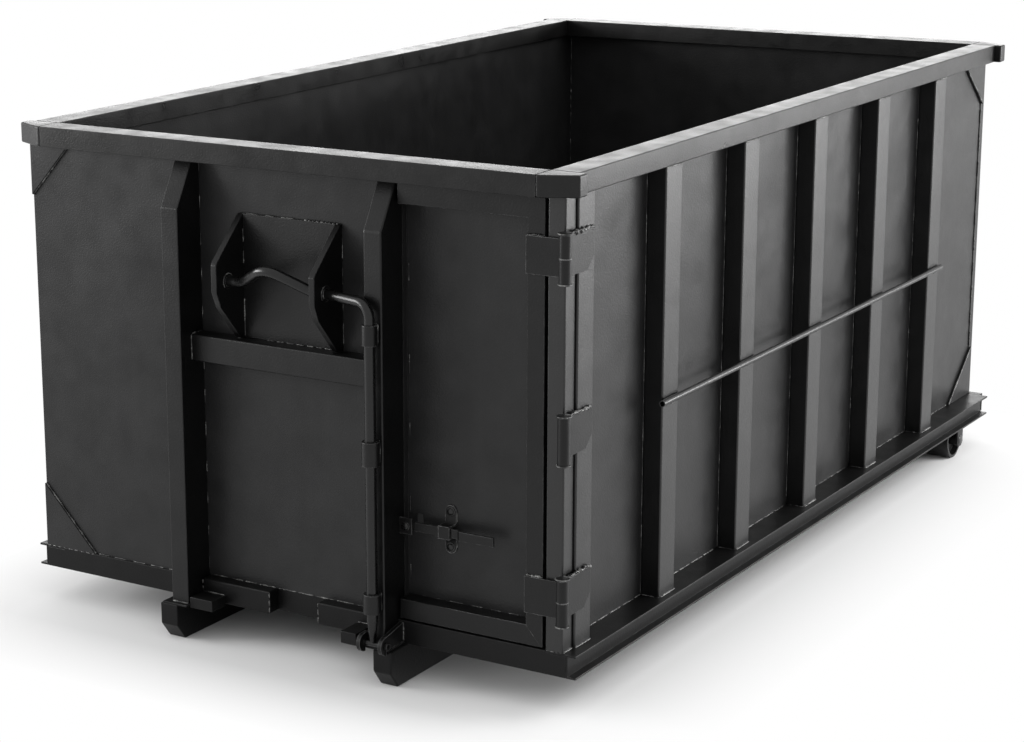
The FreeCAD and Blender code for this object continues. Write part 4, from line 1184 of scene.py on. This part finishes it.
class CONTAINER_OT_stage(Operator):
    """Set the pale floor, the sky, the soft lamps, and the camera at the photograph's angle"""
    bl_idname = "container.stage"
    bl_label = "Stage"

    def execute(self, context):
        scene = context.scene
        stage = settings(context)[3]
        scene.view_settings.view_transform = "Standard"
        camera = bpy.data.cameras.new("Camera")
        camera.sensor_width = 36.0
        camera.lens = 87.05
        camera.shift_x = 0.1371
        camera.shift_y = -0.0040
        camera.clip_start = 0.1
        camera.clip_end = 400.0
        eye = placed("Camera", camera)
        turn = look_matrix((-0.5336, 0.8094, -0.2451), math.radians(0.616)).to_4x4()
        eye.matrix_world = Matrix.Translation((5.227, -9.401, 3.419)) @ turn
        scene.camera = eye
        plain_floor(tuple(stage.floor_colour))
        pale_sky(stage.sky_level)
        area_lamp("Key lamp", (8.0, 3.5, 7.5), target=(0.3, 0.0, 0.8), width=6.0, height=5.0,
                  power=stage.key_power)
        area_lamp("Side lamp", (10.0, 7.5, 1.8), target=(1.0, 0.4, 1.0), width=9.0, height=3.2,
                  power=stage.side_power)
        area_lamp("Rear lamp", (-9.0, 14.0, 3.0), target=(0.0, 0.5, 1.5), width=16.0, height=5.0,
                  power=stage.rear_power)
        area_lamp("Fill lamp", (-9.0, -6.5, 3.0), target=(0.0, -1.8, 0.6), width=5.0, height=4.0,
                  power=stage.fill_power)
        return {"FINISHED"}


# Panel and running order

OPERATORS = (
    CONTAINER_OT_paints,
    CONTAINER_OT_box,
    CONTAINER_OT_floor_frame,
    CONTAINER_OT_hook_frame,
    CONTAINER_OT_bail,
    CONTAINER_OT_lock_rod,
    CONTAINER_OT_door,
    CONTAINER_OT_hinge_pins,
    CONTAINER_OT_latch,
    CONTAINER_OT_rollers,
    CONTAINER_OT_side_welds,
    CONTAINER_OT_front_welds,
    CONTAINER_OT_hinge_welds,
    CONTAINER_OT_door_welds,
    CONTAINER_OT_rear_and_inside_welds,
    CONTAINER_OT_stage,
)


class CONTAINER_PT_sidebar(Panel):
    bl_idname = "CONTAINER_PT_sidebar"
    bl_label = "Roll-off container"
    bl_space_type = "VIEW_3D"
    bl_region_type = "UI"
    bl_category = "Container"

    def draw(self, context):
        """Lists the settings and the pieces."""
        for group in settings(context):
            part = self.layout.box()
            for name in group.bl_rna.properties.keys():
                if name not in ("rna_type", "name"):
                    part.prop(group, name)
        for operator in OPERATORS:
            self.layout.operator(operator.bl_idname)


GROUP_PLACES = {
    "container_paint": ContainerPaint,
    "container_steel": ContainerSteel,
    "container_welds": ContainerWelds,
    "container_stage": ContainerStage,
}


def register():
    for name, group in GROUP_PLACES.items():
        bpy.utils.register_class(group)
        setattr(bpy.types.Scene, name, PointerProperty(type=group))
    for item in (*OPERATORS, CONTAINER_PT_sidebar):
        bpy.utils.register_class(item)


def unregister():
    for item in reversed((*OPERATORS, CONTAINER_PT_sidebar)):
        bpy.utils.unregister_class(item)
    for name, group in GROUP_PLACES.items():
        delattr(bpy.types.Scene, name)
        bpy.utils.unregister_class(group)


def main():
    register()
    for operator in OPERATORS:
        family, name = operator.bl_idname.split(".")
        getattr(getattr(bpy.ops, family), name)()


if __name__ == "__main__":
    main()
